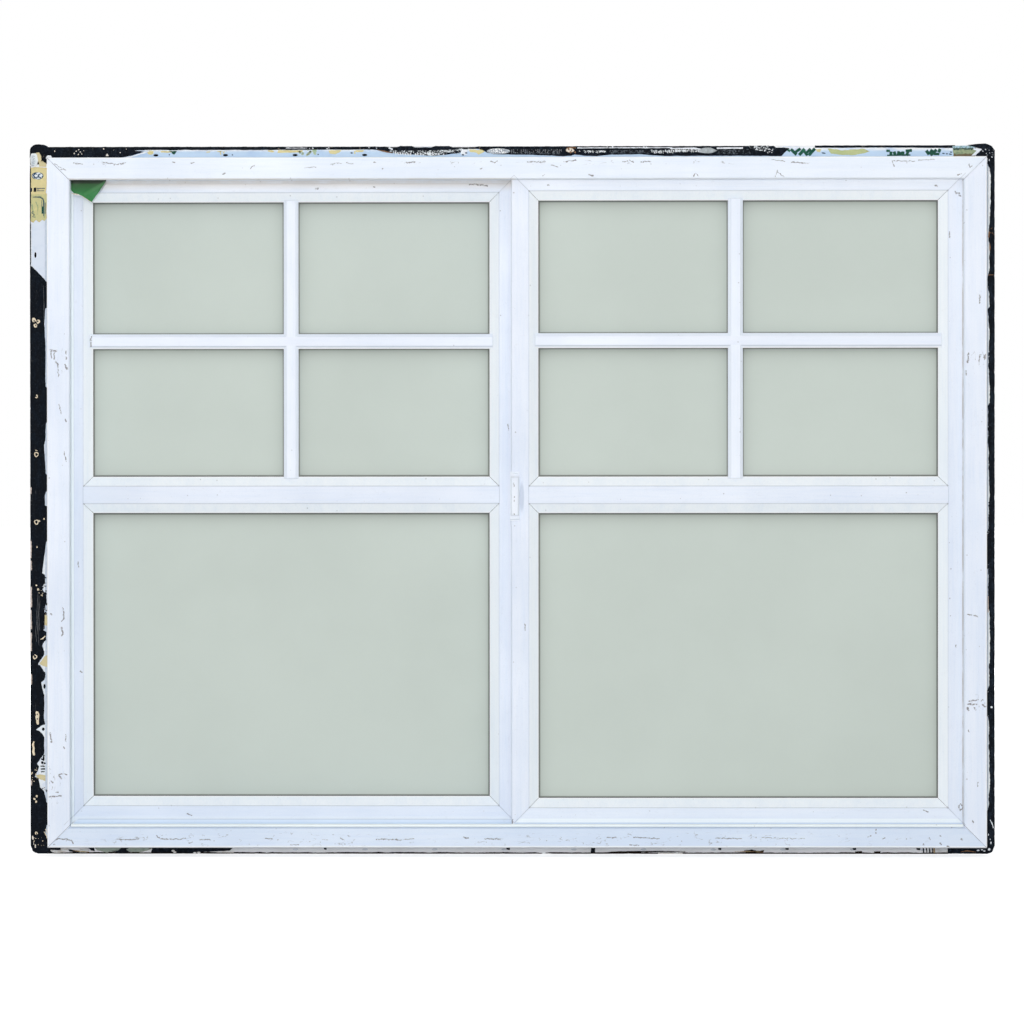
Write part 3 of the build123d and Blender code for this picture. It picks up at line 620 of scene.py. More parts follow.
def head_dirt_and_shade(g, place, body):
    """Warm dirt and painted shade under the head's lip and on the rib behind it, strongest over the left sash, with the
    painted highlight along the frame's outer edge.
    """
    body = painted_edge_highlight(g, place, body)
    where = g.split(place)
    # Painted shade under the head's lip, in a warm dirt colour.
    low = g.fade(where["Z"], 0.9775, 0.9745)
    left = g.fade(where["X"], 0.002, -0.004, 0.35, 1.0)
    patchy = g.fade(g.noise(place, 30.0, 4.0, 0.6), 0.3, 0.6, 0.6, 1.0)
    return g.mix(g.product(low, left, patchy, 0.5), body, DUST_AND_SHADE_BEIGE)


def sill_light_and_shade(g, place, body):
    """Painted light and shade on the sill: a painted highlight on its outer edge and just above its bottom edge,
    painted shade lines along its bottom edge and under its lip, and painted light on the rib behind the lip, darker low
    down, with a painted shade line along its top.
    """
    body = painted_edge_highlight(g, place, body)
    where = g.split(place)
    above = g.math("SUBTRACT", where["Z"], FRAME_BOTTOM)
    # Painted highlight just above the sill's bottom edge.
    foot = g.fade(above, 3.6 * MM, 2.6 * MM)
    body = g.mix(g.math("MULTIPLY", foot, 0.5), body, screen(251, 253, 255))
    # Painted shade lines along the sill's bottom edge and under its lip.
    edge = g.fade(above, 1.7 * MM, 1.0 * MM)
    under = g.fade(g.math("ABSOLUTE", g.math("SUBTRACT", above, 29.6 * MM)), 1.5 * MM, 0.6 * MM)
    lines = g.math("MAXIMUM", g.math("MULTIPLY", edge, 0.42), g.math("MULTIPLY", under, 0.05))
    body = g.mix(lines, body, JOINT_AND_SHADE_GREY)
    # Painted light on the rib behind the lip, darker low down, and a painted shade line along its top.
    behind = g.math("MULTIPLY", g.fade(where["Y"], -0.04, -0.03), g.fade(where["Y"], 0.003, -0.001))
    hollow = g.mix(g.fade(where["Z"], 41.5 * MM, 39.5 * MM), screen(225, 238, 253), screen(215, 231, 249))
    body = g.mix(behind, body, hollow)
    top = g.math("MULTIPLY", behind, g.fade(where["Z"], 43.0 * MM, 44.0 * MM))
    return g.mix(g.math("MULTIPLY", top, 0.18), body, JOINT_AND_SHADE_GREY)


def jamb_light_and_shade(g, place, body):
    """A painted highlight on a jamb's outer edge, painted light on its faces behind the room face, and a brown line of
    dirt and painted shade down its inner edge at the right.
    """
    body = painted_edge_highlight(g, place, body)
    # Painted light on the jamb's faces behind its room face.
    body = g.mix(g.fade(g.split(place)["Y"], -46.5 * MM, -44.0 * MM, 0.0, 0.7), body, screen(243, 252, 255))
    # Brown dirt and painted shade in the corner where the right jamb meets the sash.
    across = g.split(place)["X"]
    rim = g.fade(across, 646.9 * MM, 646.3 * MM)
    right = g.math("GREATER_THAN", across, 0.0)
    patchy = g.fade(g.noise(place, 26.0, 4.0, 0.6), 0.35, 0.6, 0.1, 0.5)
    return g.mix(g.product(rim, right, patchy), body, BROWN_DIRT_AND_SHADE)


def stile_dirt_and_shade(g, place, body):
    """Brown dirt and painted shade by the right jamb, warm dust and painted shade at the left sash's top, a painted
    shadow beside the latch and painted shade at the left.
    """
    where = g.split(place)
    # Painted shadow of the latch on the stile beside it.
    painted_latch_shadow = g.group(ZONE, Place=place, Centre=(7.6 * MM, -0.036, 0.514), Reach=(4.6 * MM, 0.02, 0.026))
    body = g.mix(painted_latch_shadow["Mask"], body, screen(200, 210, 227))
    # Painted shade on the left sash's left stile, beside the jamb.
    shaded = g.math("MULTIPLY", g.fade(where["X"], -0.62, -0.625), 0.25)
    body = g.mix(shaded, body, screen(206, 214, 232))
    # Brown dirt and painted shade where the right sash meets the right jamb.
    rim = g.fade(where["X"], 644.9 * MM, 645.6 * MM)
    patchy = g.fade(g.noise(place, 26.0, 4.0, 0.6), 0.35, 0.6, 0.15, 0.5)
    return top_dust_and_shade(g, place, g.mix(g.math("MULTIPLY", rim, patchy), body, BROWN_DIRT_AND_SHADE))


def top_dust_and_shade(g, place, body):
    """Warm dust and painted shade on the top of the left sash, under the head."""
    where = g.split(place)
    # Warm dust and painted shade under the head's lip, stronger over the left sash.
    high = g.fade(where["Z"], 0.957, 0.974)
    left = g.fade(where["X"], -0.004, -0.009, 0.12, 1.0)
    return g.mix(g.product(high, left, 0.5), body, DUST_AND_SHADE_BEIGE)


def rail_foot(g, place, body):
    """Warm dust and painted shade on the top rail, a duller middle rail at the left, painted light on the bottom rail
    over the sill's lip, and a painted shadow line where the right sash's rail meets the lip.
    """
    where = g.split(place)
    left = g.fade(where["X"], -0.004, -0.009)
    middle = g.fade(g.math("ABSOLUTE", g.math("SUBTRACT", where["Z"], 0.5175)), 28 * MM, 27 * MM)
    share = g.product(middle, g.math("ADD", g.math("MULTIPLY", left, 0.14), 0.1))
    body = g.mix(share, body, screen(206, 214, 232))
    right = g.math("SUBTRACT", 1.0, g.math("MULTIPLY", left, 0.6))
    # Painted light on the bottom rail over the sill's lip.
    body = g.mix(g.fade(where["Z"], 66 * MM, 63 * MM, 0.0, 0.25), body, screen(232, 242, 255))
    body = g.mix(g.product(g.fade(where["Z"], 49 * MM, 47 * MM), right), body, screen(241, 249, 255))
    # Painted shadow line where the right sash's bottom rail meets the sill's lip.
    line = g.product(g.fade(where["Z"], 42.6 * MM, 41.8 * MM), g.math("SUBTRACT", 1.0, left), 0.85)
    return top_dust_and_shade(g, place, g.mix(line, body, screen(194, 212, 236)))


def bead_highlight(g, place, body):
    """A painted highlight along the inner edge of the beads."""
    spot = g.group(SASH_PLACES, Place=place)
    inner = g.math("MAXIMUM", spot["Beside"], spot["Beyond"])
    line = g.fade(inner, -11.4 * MM, -12.2 * MM)
    return g.mix(g.math("MULTIPLY", line, 0.7), body, screen(252, 253, 255))


def bar_shade_and_highlight(g, place, body):
    """A painted shade line under the cross bar's flat face and a painted highlight along its lower edge."""
    height = g.split(place)["Z"]
    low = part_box("left_sash_room_cross_bar")[0].z
    # Painted shade line under the flat face, and a painted highlight along the lower edge.
    crease_shade = g.fade(g.math("ABSOLUTE", g.math("SUBTRACT", height, low + 3.4 * MM)), 1.2 * MM, 0.5 * MM)
    body = g.mix(g.math("MULTIPLY", crease_shade, 0.22), body, JOINT_AND_SHADE_GREY)
    edge = g.fade(height, low + 2.2 * MM, low + 1.4 * MM)
    return g.mix(g.math("MULTIPLY", edge, 0.8), body, screen(252, 253, 255))


def obscure_glass():
    """Pale green pebbled glass, shaded where it runs under the beads and bars."""
    material, g, shader, place = new_material("obscure_glass")
    cloud = g.noise(place, 3.0, 4.0, 0.6)
    pebble = g.noise(place, 420.0, 2.0, 0.5)
    dark = tuple(c * 0.965 for c in GLASS_GREEN)
    body = g.mix(g.fade(cloud, 0.35, 0.7), GLASS_GREEN, dark)
    edges = g.group(PANE_EDGES, Place=place)
    shade = g.math("ADD", g.math("MULTIPLY", edges["Under"], 0.5), g.math("MULTIPLY", edges["Beside"], 0.24))
    shade = g.math("ADD", shade, g.math("MULTIPLY", edges["Above"], 0.13))
    body = g.mix(shade, body, screen(52, 52, 44))
    body = g.mix(g.math("MULTIPLY", edges["Line"], 0.6), body, screen(60, 62, 54))
    g.put(shader.inputs["Base Color"], body)
    g.put(shader.inputs["Roughness"], g.fade(cloud, 0.3, 0.7, 0.5, 0.58))
    g.put(shader.inputs["Normal"], g.bump(pebble, 0.12, 0.4 * MM))
    shader.inputs["Specular IOR Level"].default_value = 0.3
    return material


def plain(name, colour, roughness, scale, variation, specular=0.5):
    """A matt finish with a fine grain in its colour and surface."""
    material, g, shader, place = new_material(name)
    grain = g.noise(place, scale, 5.0, 0.6)
    dark = tuple(c * (1 - variation) for c in colour)
    g.put(shader.inputs["Base Color"], g.mix(g.fade(grain, 0.3, 0.7), colour, dark))
    g.put(shader.inputs["Roughness"], g.fade(grain, 0.3, 0.7, roughness, roughness + 0.12))
    g.put(shader.inputs["Normal"], g.bump(grain, 0.3, 0.6 * MM))
    shader.inputs["Specular IOR Level"].default_value = specular
    return material


def fin_vinyl():
    """Grey vinyl of the fin, with dirt that runs along it in bands, and painted light on it below the sill, where the
    frame's shadow falls.
    """
    material, g, shader, place = new_material("fin_vinyl")
    where = g.split(place)
    upright = g.math("GREATER_THAN", g.math("ABSOLUTE", where["X"]), 0.68)
    along = g.join(g.fade(upright, 0.0, 1.0, 0.04, 1.0), 1.0, g.fade(upright, 0.0, 1.0, 1.0, 0.04))
    band = g.noise(g.vector("MULTIPLY", place, along), 330.0, 4.0, 0.6)
    cloud = g.noise(place, 14.0, 4.0, 0.6)
    body = g.mix(g.fade(band, 0.36, 0.64), FIN_GREY, screen(200, 198, 202))
    # Painted light on the fin below the sill, where the frame's shadow falls.
    foot = g.fade(where["Z"], FRAME_BOTTOM + 0.6 * MM, FRAME_BOTTOM - 0.4 * MM)
    body = g.mix(g.math("MULTIPLY", foot, 0.95), body, screen(255, 254, 255))
    body = g.mix(g.fade(cloud, 0.45, 0.75, 0.0, 0.25), body, screen(196, 188, 182))
    g.put(shader.inputs["Base Color"], body)
    g.put(shader.inputs["Roughness"], g.fade(cloud, 0.3, 0.7, 0.5, 0.65))
    g.put(shader.inputs["Normal"], g.bump(band, 0.2, 0.5 * MM))
    return material


def tar_membrane():
    """Black roofing membrane: wrinkled, dusty, with brown and pale rims where it tore, and faint painted sheen streaks.
    """
    material, g, shader, place = new_material("tar_membrane")
    rim = g.add("ShaderNodeAttribute", attribute_name="from_edge").outputs["Fac"]
    wrinkle = g.noise(g.vector("MULTIPLY", place, (1.0, 1.0, 0.45)), 150.0, 5.0, 0.62)
    dust = g.noise(place, 60.0, 5.0, 0.7)
    fine = g.noise(place, 430.0, 3.0, 0.65)
    lit = g.fade(g.split(place)["X"], -0.69, -0.62, 0.45, 1.0)
    body = g.mix(g.math("MULTIPLY", g.fade(wrinkle, 0.42, 0.72), lit), TAR_BLACK, screen(30, 38, 49))
    body = g.mix(g.math("MULTIPLY", g.fade(fine, 0.5, 0.72, 0.0, 0.6), lit), body, screen(52, 60, 70))
    body = g.mix(g.fade(dust, 0.62, 0.76, 0.0, 0.4), body, screen(70, 64, 58))
    torn = g.product(g.fade(rim, 0.6, 0.1), g.fade(g.noise(place, 190.0, 3.0, 0.6), 0.6, 0.68))
    body = g.mix(g.math("MULTIPLY", torn, 0.5), body, screen(168, 152, 134))
    # Painted sheen: faint pale streaks along the membrane.
    streak = g.noise(g.vector("MULTIPLY", place, (1.0, 1.0, 0.02)), 520.0, 3.0, 0.6)
    body = g.mix(g.product(g.fade(streak, 0.66, 0.74), g.fade(dust, 0.5, 0.62), 0.35), body, screen(150, 150, 150))
    g.put(shader.inputs["Base Color"], body)
    g.put(shader.inputs["Roughness"], g.fade(wrinkle, 0.3, 0.7, 0.5, 0.72))
    g.put(shader.inputs["Normal"], g.bump(wrinkle, 0.6, 1.2 * MM))
    shader.inputs["Specular IOR Level"].default_value = 0.05
    return material


def scrap(name, colour, rim_colour, stain, stain_share=0.5, scale=90.0):
    """Weathered paper, film or tape: stains, creases and a rim of another colour where it tore."""
    material, g, shader, place = new_material(name)
    rim = g.add("ShaderNodeAttribute", attribute_name="from_edge").outputs["Fac"]
    cloud = g.noise(place, scale, 5.0, 0.65)
    fibre = g.noise(place, 800.0, 3.0, 0.6)
    body = g.mix(g.fade(cloud, 0.46, 0.72, 0.0, stain_share), colour, stain)
    body = g.mix(g.fade(fibre, 0.4, 0.75, 0.0, 0.25), body, tuple(c * 0.8 for c in colour))
    torn = g.product(g.fade(rim, 0.8, 0.1), g.fade(g.noise(place, 160.0, 2.0, 0.6), 0.38, 0.55))
    g.put(shader.inputs["Base Color"], g.mix(g.math("MULTIPLY", torn, 0.8), body, rim_colour))
    g.put(shader.inputs["Roughness"], g.fade(fibre, 0.3, 0.7, 0.6, 0.8))
    g.put(shader.inputs["Normal"], g.bump(g.math("ADD", cloud, g.math("MULTIPLY", fibre, 0.4)), 0.3, 0.8 * MM))
    shader.inputs["Specular IOR Level"].default_value = 0.3
    return material


def dress_window():
    """Give every piece of the frame and the sashes its finish."""
    jamb = {"colour": JAMB_WHITE, "grain": UPRIGHT_GRAIN, "extra": jamb_light_and_shade}
    left_zones = [(on_frame("left", 290, 16), (18 * MM, 0.02, 26 * MM)),
                  (on_frame("left", 905, 12), (16 * MM, 0.02, 40 * MM))]
    right_zones = [(on_frame("right", 296, 14), (18 * MM, 0.02, 22 * MM)),
                   (on_frame("right", 792, 14), (18 * MM, 0.02, 16 * MM))]
    sill_zones = [(on_frame("sill", 300, 12), (0.33, 0.02, 13 * MM)),
                  (on_frame("sill", 900, 12), (0.42, 0.02, 13 * MM))]
    head_zones = [(on_frame("top", 80, 9), (0.07, 0.02, 5 * MM)), (on_frame("top", 820, 8), (0.4, 0.02, 4 * MM))]
    finishes = {
        "left_jamb": vinyl("left_jamb_vinyl", strokes=LEFT_JAMB_STROKES, zones=left_zones,
                           point_at=lambda a, i: on_frame("left", a, i), **jamb),
        "right_jamb": vinyl("right_jamb_vinyl", strokes=RIGHT_JAMB_STROKES, zones=right_zones,
                            point_at=lambda a, i: on_frame("right", a, i), **jamb),
        "head": vinyl("head_vinyl", HEAD_WHITE, LEVEL_GRAIN, 0.8, HEAD_STROKES,
                      lambda a, i: on_frame("top", a, i), head_zones, head_dirt_and_shade),
        "sill": vinyl("sill_vinyl", SILL_WHITE, LEVEL_GRAIN, 1.1, SILL_STROKES,
                      lambda a, i: on_frame("bottom", a, i), sill_zones, sill_light_and_shade),
        "stile": vinyl("stile_vinyl", STILE_WHITE, UPRIGHT_GRAIN, 1.0, STILE_STROKES, on_sash, extra=stile_dirt_and_shade),
        "rail": vinyl("rail_vinyl", RAIL_WHITE, LEVEL_GRAIN, 1.0, RAIL_STROKES, on_sash, extra=rail_foot),
        "beads": vinyl("bead_vinyl", BEAD_WHITE, UPRIGHT_GRAIN, 0.8, extra=bead_highlight),
        "upright_bars": vinyl("upright_bar_vinyl", UPRIGHT_BAR_WHITE, UPRIGHT_GRAIN, 0.7),
        "cross_bar": vinyl("cross_bar_vinyl", BAR_WHITE, LEVEL_GRAIN, 0.7, BAR_STROKES, on_sash, extra=bar_shade_and_highlight),
        "latch": vinyl("latch_plastic", LATCH_WHITE, UPRIGHT_GRAIN, 0.8, LATCH_STROKES, on_latch),
        "glass": obscure_glass(),
        "gaskets": plain("gasket_rubber", screen(70, 74, 74), 0.6, 300.0, 0.3, 0.2),
        "spacers": plain("mill_spacer", screen(195, 197, 199), 0.4, 300.0, 0.15),
        "seal": plain("woven_pile", screen(170, 172, 174), 0.85, 900.0, 0.35),
        "fin": fin_vinyl(),
    }
    for name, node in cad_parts.items():
        finish = next((finishes[key] for key in finishes if key in name), None)
        for slot in range(len(node.data.materials)):
            node.data.materials[slot] = finish or TAR


def on_fin(side, along, inward):
    """X and Z of a point on the fin, given in mm down or along a side and in from the fin's edge."""
    if side == "left":
        return FIN_LEFT + inward * MM, FIN_TOP - along * MM
    if side == "right":
        return FIN_RIGHT - inward * MM, FIN_TOP - along * MM
    if side == "top":
        return FIN_LEFT + along * MM, FIN_TOP - inward * MM
    if side == "bottom":
        return FIN_LEFT + along * MM, FIN_BOTTOM + inward * MM
    return along * MM, inward * MM


def ribbon(path, width):
    """The outline of a stroke of that width along a path, narrower at its ends if the path bends."""
    one_side, other_side = [], []
    for i, point in enumerate(path):
        run = Vector(path[min(i + 1, len(path) - 1)]) - Vector(path[max(i - 1, 0)])
        run.normalize()
        half = width / 2 if 0 < i < len(path) - 1 or len(path) == 2 else width * 0.3
        across = Vector((-run.y, run.x)) * half
        one_side.append(tuple(Vector(point) + across))
        other_side.append(tuple(Vector(point) - across))
    return one_side + other_side[::-1]


def oval(along, inward, half_length, half_width, turn=0.0, corners=14):
    """An oval outline, turned by so many degrees."""
    outline = []
    lean = math.radians(turn)
    for i in range(corners):
        angle = 2 * math.pi * i / corners
        a, b = half_length * math.cos(angle), half_width * math.sin(angle)
        point = (along + a * math.cos(lean) - b * math.sin(lean), inward + a * math.sin(lean) + b * math.cos(lean))
        outline.append(point)
    return outline


def roughened(outline, step, ragged, seed):
    """The outline with a point every step mm, each moved sideways by up to about ragged mm."""
    points = []
    for start, end in zip(outline, outline[1:] + outline[:1]):
        start, end = Vector(start), Vector(end)
        run = end - start
        across = Vector((-run.y, run.x)).normalized() if run.length else Vector((0, 0))
        count = max(1, round(run.length / step))
        for i in range(count):
            point = start + run * i / count
            push = noise.noise(Vector((point.x * 0.11, point.y * 0.31, seed)))
            push += 0.7 * noise.noise(Vector((point.x * 0.53, point.y * 0.77, seed + 40)))
            points.append(point + across * push * ragged)
    return points


class Layer:
    """Thin loose pieces of one finish, gathered into one mesh, each on the fin or on the sash."""

    def __init__(self):
        self.points = []
        self.faces = []
        self.depths = []

    def add(self, side, outline, lift, thickness, relief=0.0, ragged=0.3, step=2.0, cell=4.0, base=FIN_FACE):
        seed = 3.7 + len(self.points) * 0.13
        border = [Vector(on_fin(side, *point)) for point in roughened(outline, step, ragged, seed)]
        for point in border:
            point.x = min(max(point.x, FIN_LEFT), FIN_RIGHT)
            point.y = min(max(point.y, FIN_BOTTOM), cad_high.z)
        edge = kdtree.KDTree(len(border))
        for i, point in enumerate(border):
            edge.insert((point.x, 0, point.y), i)
        edge.balance()
        filling = grid_inside(border, cell * MM, edge)
        sheet = geometry.delaunay_2d_cdt(border + filling, [], [list(range(len(border)))], 1, 1e-6)
        corners, triangles = sheet[0], sheet[2]
        used = sorted({i for face in triangles for i in face})
        index = {old: new for new, old in enumerate(used)}
        first, count = len(self.points), len(used)
        for back in (False, True):
            for i in used:
                x, z = corners[i]
                depth = edge.find((x, 0, z))[2] / MM
                full = thickness * (0.45 + 0.55 * min(1.0, depth / 1.2))
                wave = noise.noise(Vector((x * 85, z * 60, seed))) + 0.5 * noise.noise(Vector((x * 260, z * 200, seed)))
                rise = full + relief * (0.5 + wave) * min(1.0, depth / 2.0)
                self.points.append((x, base - (lift + (0.0 if back else rise)) * MM, z))
                self.depths.append(depth)
        self.stitch(corners, triangles, index, first, count)

    def stitch(self, corners, triangles, index, first, count):
        """Front faces towards the room, the same faces turned round behind, and a wall between."""
        seen = {}
        for face in triangles:
            a, b, c = (corners[i] for i in face)
            turned = (b - a).cross(c - a) < 0
            order = [index[i] for i in (reversed(face) if turned else face)]
            self.faces.append([first + i for i in order])
            self.faces.append([first + count + i for i in reversed(order)])
            for i, j in zip(order, order[1:] + order[:1]):
                seen[i, j] = seen.get((i, j), 0) + 1
        for i, j in seen:
            if (j, i) not in seen:
                self.faces.append([first + j, first + i, first + count + i, first + count + j])

    def finished(self, name, material, slot, *nodes):
        mesh = bpy.data.meshes.new(name)
        mesh.from_pydata(self.points, [], self.faces)
        mesh.attributes.new("from_edge", "FLOAT", "POINT").data.foreach_set("value", self.depths)
        mesh.shade_smooth()
        mesh.set_sharp_from_angle(angle=math.radians(38))
        return placed(name, mesh, material, slot, *nodes)


def grid_inside(border, cell, edge):
    """Points of a staggered grid over the outline, none of them close to its edge."""
    low_x, high_x = min(p.x for p in border), max(p.x for p in border)
    low_z, high_z = min(p.y for p in border), max(p.y for p in border)
    points = []
    for row in range(int((high_z - low_z) / cell) + 1):
        for column in range(int((high_x - low_x) / cell) + 1):
            x = low_x + (column + 0.5 * (row % 2)) * cell
            z = low_z + (row + 0.5) * cell
            if edge.find((x, 0, z))[2] > cell * 0.4:
                points.append(Vector((x, z)))
    return points


def placed(name, mesh, material, slot, *nodes):
    """An object of that mesh which rides on the window."""
    if material:
        mesh.materials.append(material)
    piece = bpy.data.objects.new(name, mesh)
    bpy.context.scene.collection.objects.link(piece)
    if nodes:
        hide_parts(*nodes)
    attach(piece, "root")
    return piece


TAR = tar_membrane()

# Inner edges of the membranes and their other corners, in mm along a side and in from the fin's edge.
# A membrane that reaches HIDDEN goes on out of sight beside the frame.
HIDDEN = 29.0
LEFT_MEMBRANE = [
    (172, 0), (176, 5), (198, 26), (202, HIDDEN), (232, HIDDEN), (236, 22.5), (253, 21), (272, 21.5),
    (291, 23), (331, 22.5), (350, 23.2), (356, HIDDEN), (399, HIDDEN), (403, 23.5), (428, 22.5),
    (435, 20.5), (456, 21.5), (477, 23.5), (482, HIDDEN), (500, HIDDEN), (504, 23), (509, 21.5),
    (523, 21.5), (526, HIDDEN), (573, HIDDEN), (577, 23.5), (585, 22.5), (603, 19.5), (622, 17.5),
    (625, 21.5), (637, 21.5), (641, 17.5), (645, 17), (651, 20.5), (655, 24), (665, 24), (670, 20.5),
    (682, 21), (695, 19.5), (706, 19.5), (708, 24), (720, 23.5), (722, 20.5), (728, 17.4), (737, 20.6),
    (741, 20.2), (753, 12.4), (755.5, 11.2), (757, 14.5), (766, 20), (768, 24), (773, 22), (778, 20.3),
    (782, 15.6), (787, 16.8), (797, 19), (800, 20.4), (834, 20), (843, 21.6), (845, 16), (851, 7.8),
    (852.6, 12.4), (856, 16.8), (862, 20.4), (886, 20), (900.5, 9.6), (904.5, 12.4), (911, 10.4),
    (919.7, 6.4), (921.5, 11.7), (935, 13.7), (940.5, 19.7),
    (957, 24), (962, HIDDEN), (987, HIDDEN), (991, 24), (1002, 21.5), (1009, 24.5), (1016, HIDDEN),
    (1032, HIDDEN), (1032, 11), (1028.5, 3.5), (1020, 0),
]
RIGHT_HIDDEN = 16.5
RIGHT_MEMBRANE = [
    (14, 0), (18, 11), (27, 10.5), (29, 7.5), (48, 5.5), (69, 6), (96, 6.5), (112, 7.5), (131, 9.5),
    (144, 8), (166, 7.5), (180, 8), (198, 10.5), (206, 10.5), (217, 8), (234, 7.5), (239, 10.5),
    (250, 9.5), (276, 7.5), (293, 9), (320, 9), (353, 7.5), (374, 7.5), (379, 10), (424, 10),
    (431, 10.5), (442, 9), (468, 9), (494, 7.5), (509, 7.5), (523, 9), (556, 9.5), (562, 10.5),
    (568, RIGHT_HIDDEN), (610, RIGHT_HIDDEN), (617, 10), (625, 9), (652, 9.5), (676, 9), (679, 7.5),
    (753, 7), (756, 8), (785, 8), (794, 10.5), (799, RIGHT_HIDDEN), (824, RIGHT_HIDDEN), (832, 10),
    (846, 8), (874, 9), (895, 7.5), (909, 8), (926, 6.5), (940, 7.5), (951, 9.5), (959, 8), (968, 10.5),
    (974, RIGHT_HIDDEN), (1032, RIGHT_HIDDEN), (1032, 11), (1028.5, 3.5), (1020, 0),
]
TOP_HIDDEN = 18.5
TOP_MEMBRANE = [
    (12, 0), (4, 3.5), (0.4, 11), (0.4, 26), (26, 25), (29, TOP_HIDDEN), (100, TOP_HIDDEN), (106, 16.5),
    (120, 16.4), (133, 15.8), (147, 13.4), (159, 9.8), (166.6, 7.1), (158, 6.1), (150, 5.5),
    (171, 4.8), (190, 4.7), (340, 4.9), (500, 4.5), (506, 5),
    (518, 7.5), (527, 9.5), (547, 11.5), (563, 12), (589, 14), (605, 12.5), (629, 9), (630, 3.6),
    (654, 3.8), (661, 5.5), (667, 9), (677, 11.5), (702, 12), (728, 12.5), (753, 13.5), (778, 14.5),
    (790, 14), (795, 12), (808, 14), (828, 14.5), (845, 12.5), (890, 12), (923, 14.5), (974, 14.5),
    (1041, 14.5), (1061, 14.5), (1096, 15), (1106, 5), (1108, 3.6), (1098, 2.6), (1088, 2.4), (1085, 0),
    (654, 0.2), (650, 1.2), (618, 1.2), (612, -0.6), (592, -0.6), (586, 1.3), (562, 1.3), (558, -0.6),
    (541, -0.6), (536, 1.0), (524, 1.2), (518, 0.2),
]
TOP_THIN_RIM = [(1145, -0.5), (1145, 2.9), (1250, 2.7), (1345, 3.5), (1349, -0.5)]
TOP_CORNER = [
    (1365, -0.6), (1374, 1.2), (1388, 5.6), (1379, 14), (1379, TOP_HIDDEN), (1396.3, TOP_HIDDEN),
    (1396.5, 28.7), (1401.5, 37.5), (1406.5, 37), (1406.5, 7), (1401.7, 0.4), (1393, -2.9), (1380, -2.4),
]
TOP_LUMP = [
    (0, 7.6), (0.3, 4), (1.4, 0.9), (5.1, -2.4), (9, -3.6), (12.8, -3.8), (20.7, -3.4), (25.2, -1.2),
    (27.4, 0.6), (26, 8), (20, 16), (6, 18), (0, 16),
]


def wrap_film(name, colour, shade, top, bottom):
    """Thin building wrap: white near the top of the given heights and tinted lower down."""
    material, g, shader, place = new_material(name)
    height = g.split(place)["Z"]
    cloud = g.noise(g.vector("MULTIPLY", place, (0.5, 1.0, 1.0)), 60.0, 4.0, 0.6)
    body = g.mix(g.fade(height, bottom, top), colour, PAPER_WHITE)
    body = g.mix(g.fade(cloud, 0.46, 0.7, 0.0, 0.7), body, shade)
    g.put(shader.inputs["Base Color"], body)
    g.put(shader.inputs["Roughness"], g.fade(cloud, 0.3, 0.7, 0.5, 0.65))
    g.put(shader.inputs["Normal"], g.bump(cloud, 0.3, 0.8 * MM))
    shader.inputs["Specular IOR Level"].default_value = 0.3
    return material


def lay_wrap():
    """Building wrap that lies flat on the fin under everything else: blue at the top, paler at the sides; and strips of
    painted shade beside the frame.
    """
    wrap = Layer()
    wrap.add("top", [(24, 0.6), (24, 18.6), (1372, 18.6), (1372, 0.6)], 0.02, 0.2, 0.15, 0.3)
    film = wrap_film("top_wrap", WRAP_BLUE, screen(178, 204, 236), FIN_TOP - 4 * MM, FIN_TOP - 9 * MM)
    wrap.finished("top_wrap", film, "fin_vinyl")
    pale = Layer()
    pale.add("left", [(20, 1.2), (20, 29), (1010, 29), (1010, 1.2)], 0.02, 0.2, 0.15, 0.3)
    pale.finished("left_wrap", wrap_film("left_wrap", WRAP_PALE, screen(208, 219, 236), 1.0, 0.96), "fin_vinyl")
    white = Layer()
    white.add("right", [(20, 1.0), (20, 16.6), (1004, 16.6), (1004, 1.0)], 0.02, 0.2, 0.1, 0.3)
    finish = wrap_film("right_wrap", screen(250, 254, 255), screen(236, 244, 252), 1.0, 0.9)
    white.finished("right_wrap", finish, "fin_vinyl")
    # Painted shade: grey-blue strips on the fin beside the frame.
    shade = Layer()
    shade.add("left", [(104, 21.8), (104, 29), (1010, 29), (1010, 21.8)], 0.6, 0.1, 0.1, 0.5)
    shade.add("right", [(20, 9.5), (20, 11.8), (1004, 11.8), (1004, 9.5)], 0.4, 0.1, 0.1, 0.3)
    finish = plain("frame_side_shade", screen(204, 215, 230), 0.6, 200.0, 0.12, 0.3)
    shade.finished("frame_side_shade", finish, "fin_vinyl")


def lay_membranes():
    """Roofing membrane, torn along its inner edge."""
    for side, outline in (("left", LEFT_MEMBRANE), ("right", RIGHT_MEMBRANE)):
        strip = Layer()
        strip.add(side, outline, 0.3, 0.7, 0.7, 0.45 if side == "left" else 1.0, 1.6, 3.0)
        strip.finished(side + "_membrane_torn", TAR, "membrane", side + "_membrane")
    head = Layer()
    head.add("top", TOP_MEMBRANE, 0.3, 0.7, 0.45, 0.4, 1.8, 3.0)
    head.add("top", TOP_THIN_RIM, 0.3, 0.5, 0.2, 0.3, 1.8, 3.0)
    head.add("top", TOP_CORNER, 1.3, 0.7, 0.6, 0.4, 1.8, 3.0)
    head.add("top", TOP_LUMP, 1.0, 1.6, 0.6, 0.3, 1.5, 2.0)
    head.finished("top_membrane_torn", TAR, "membrane", "top_membrane")


def scatter(layer, side, seed, count, along, inward, size, lift):
    """Small torn bits of random size, spread over part of a side."""
    draw = random.Random(seed)
    for _ in range(count):
        length = draw.uniform(*size)
        width = length * draw.uniform(0.35, 0.9)
        bit = oval(draw.uniform(*along), draw.uniform(*inward), length, width, draw.uniform(0, 180), 9)
        layer.add(side, bit, lift, 0.12, 0.08, length * 0.5, max(0.5, length * 0.5), 3.0)


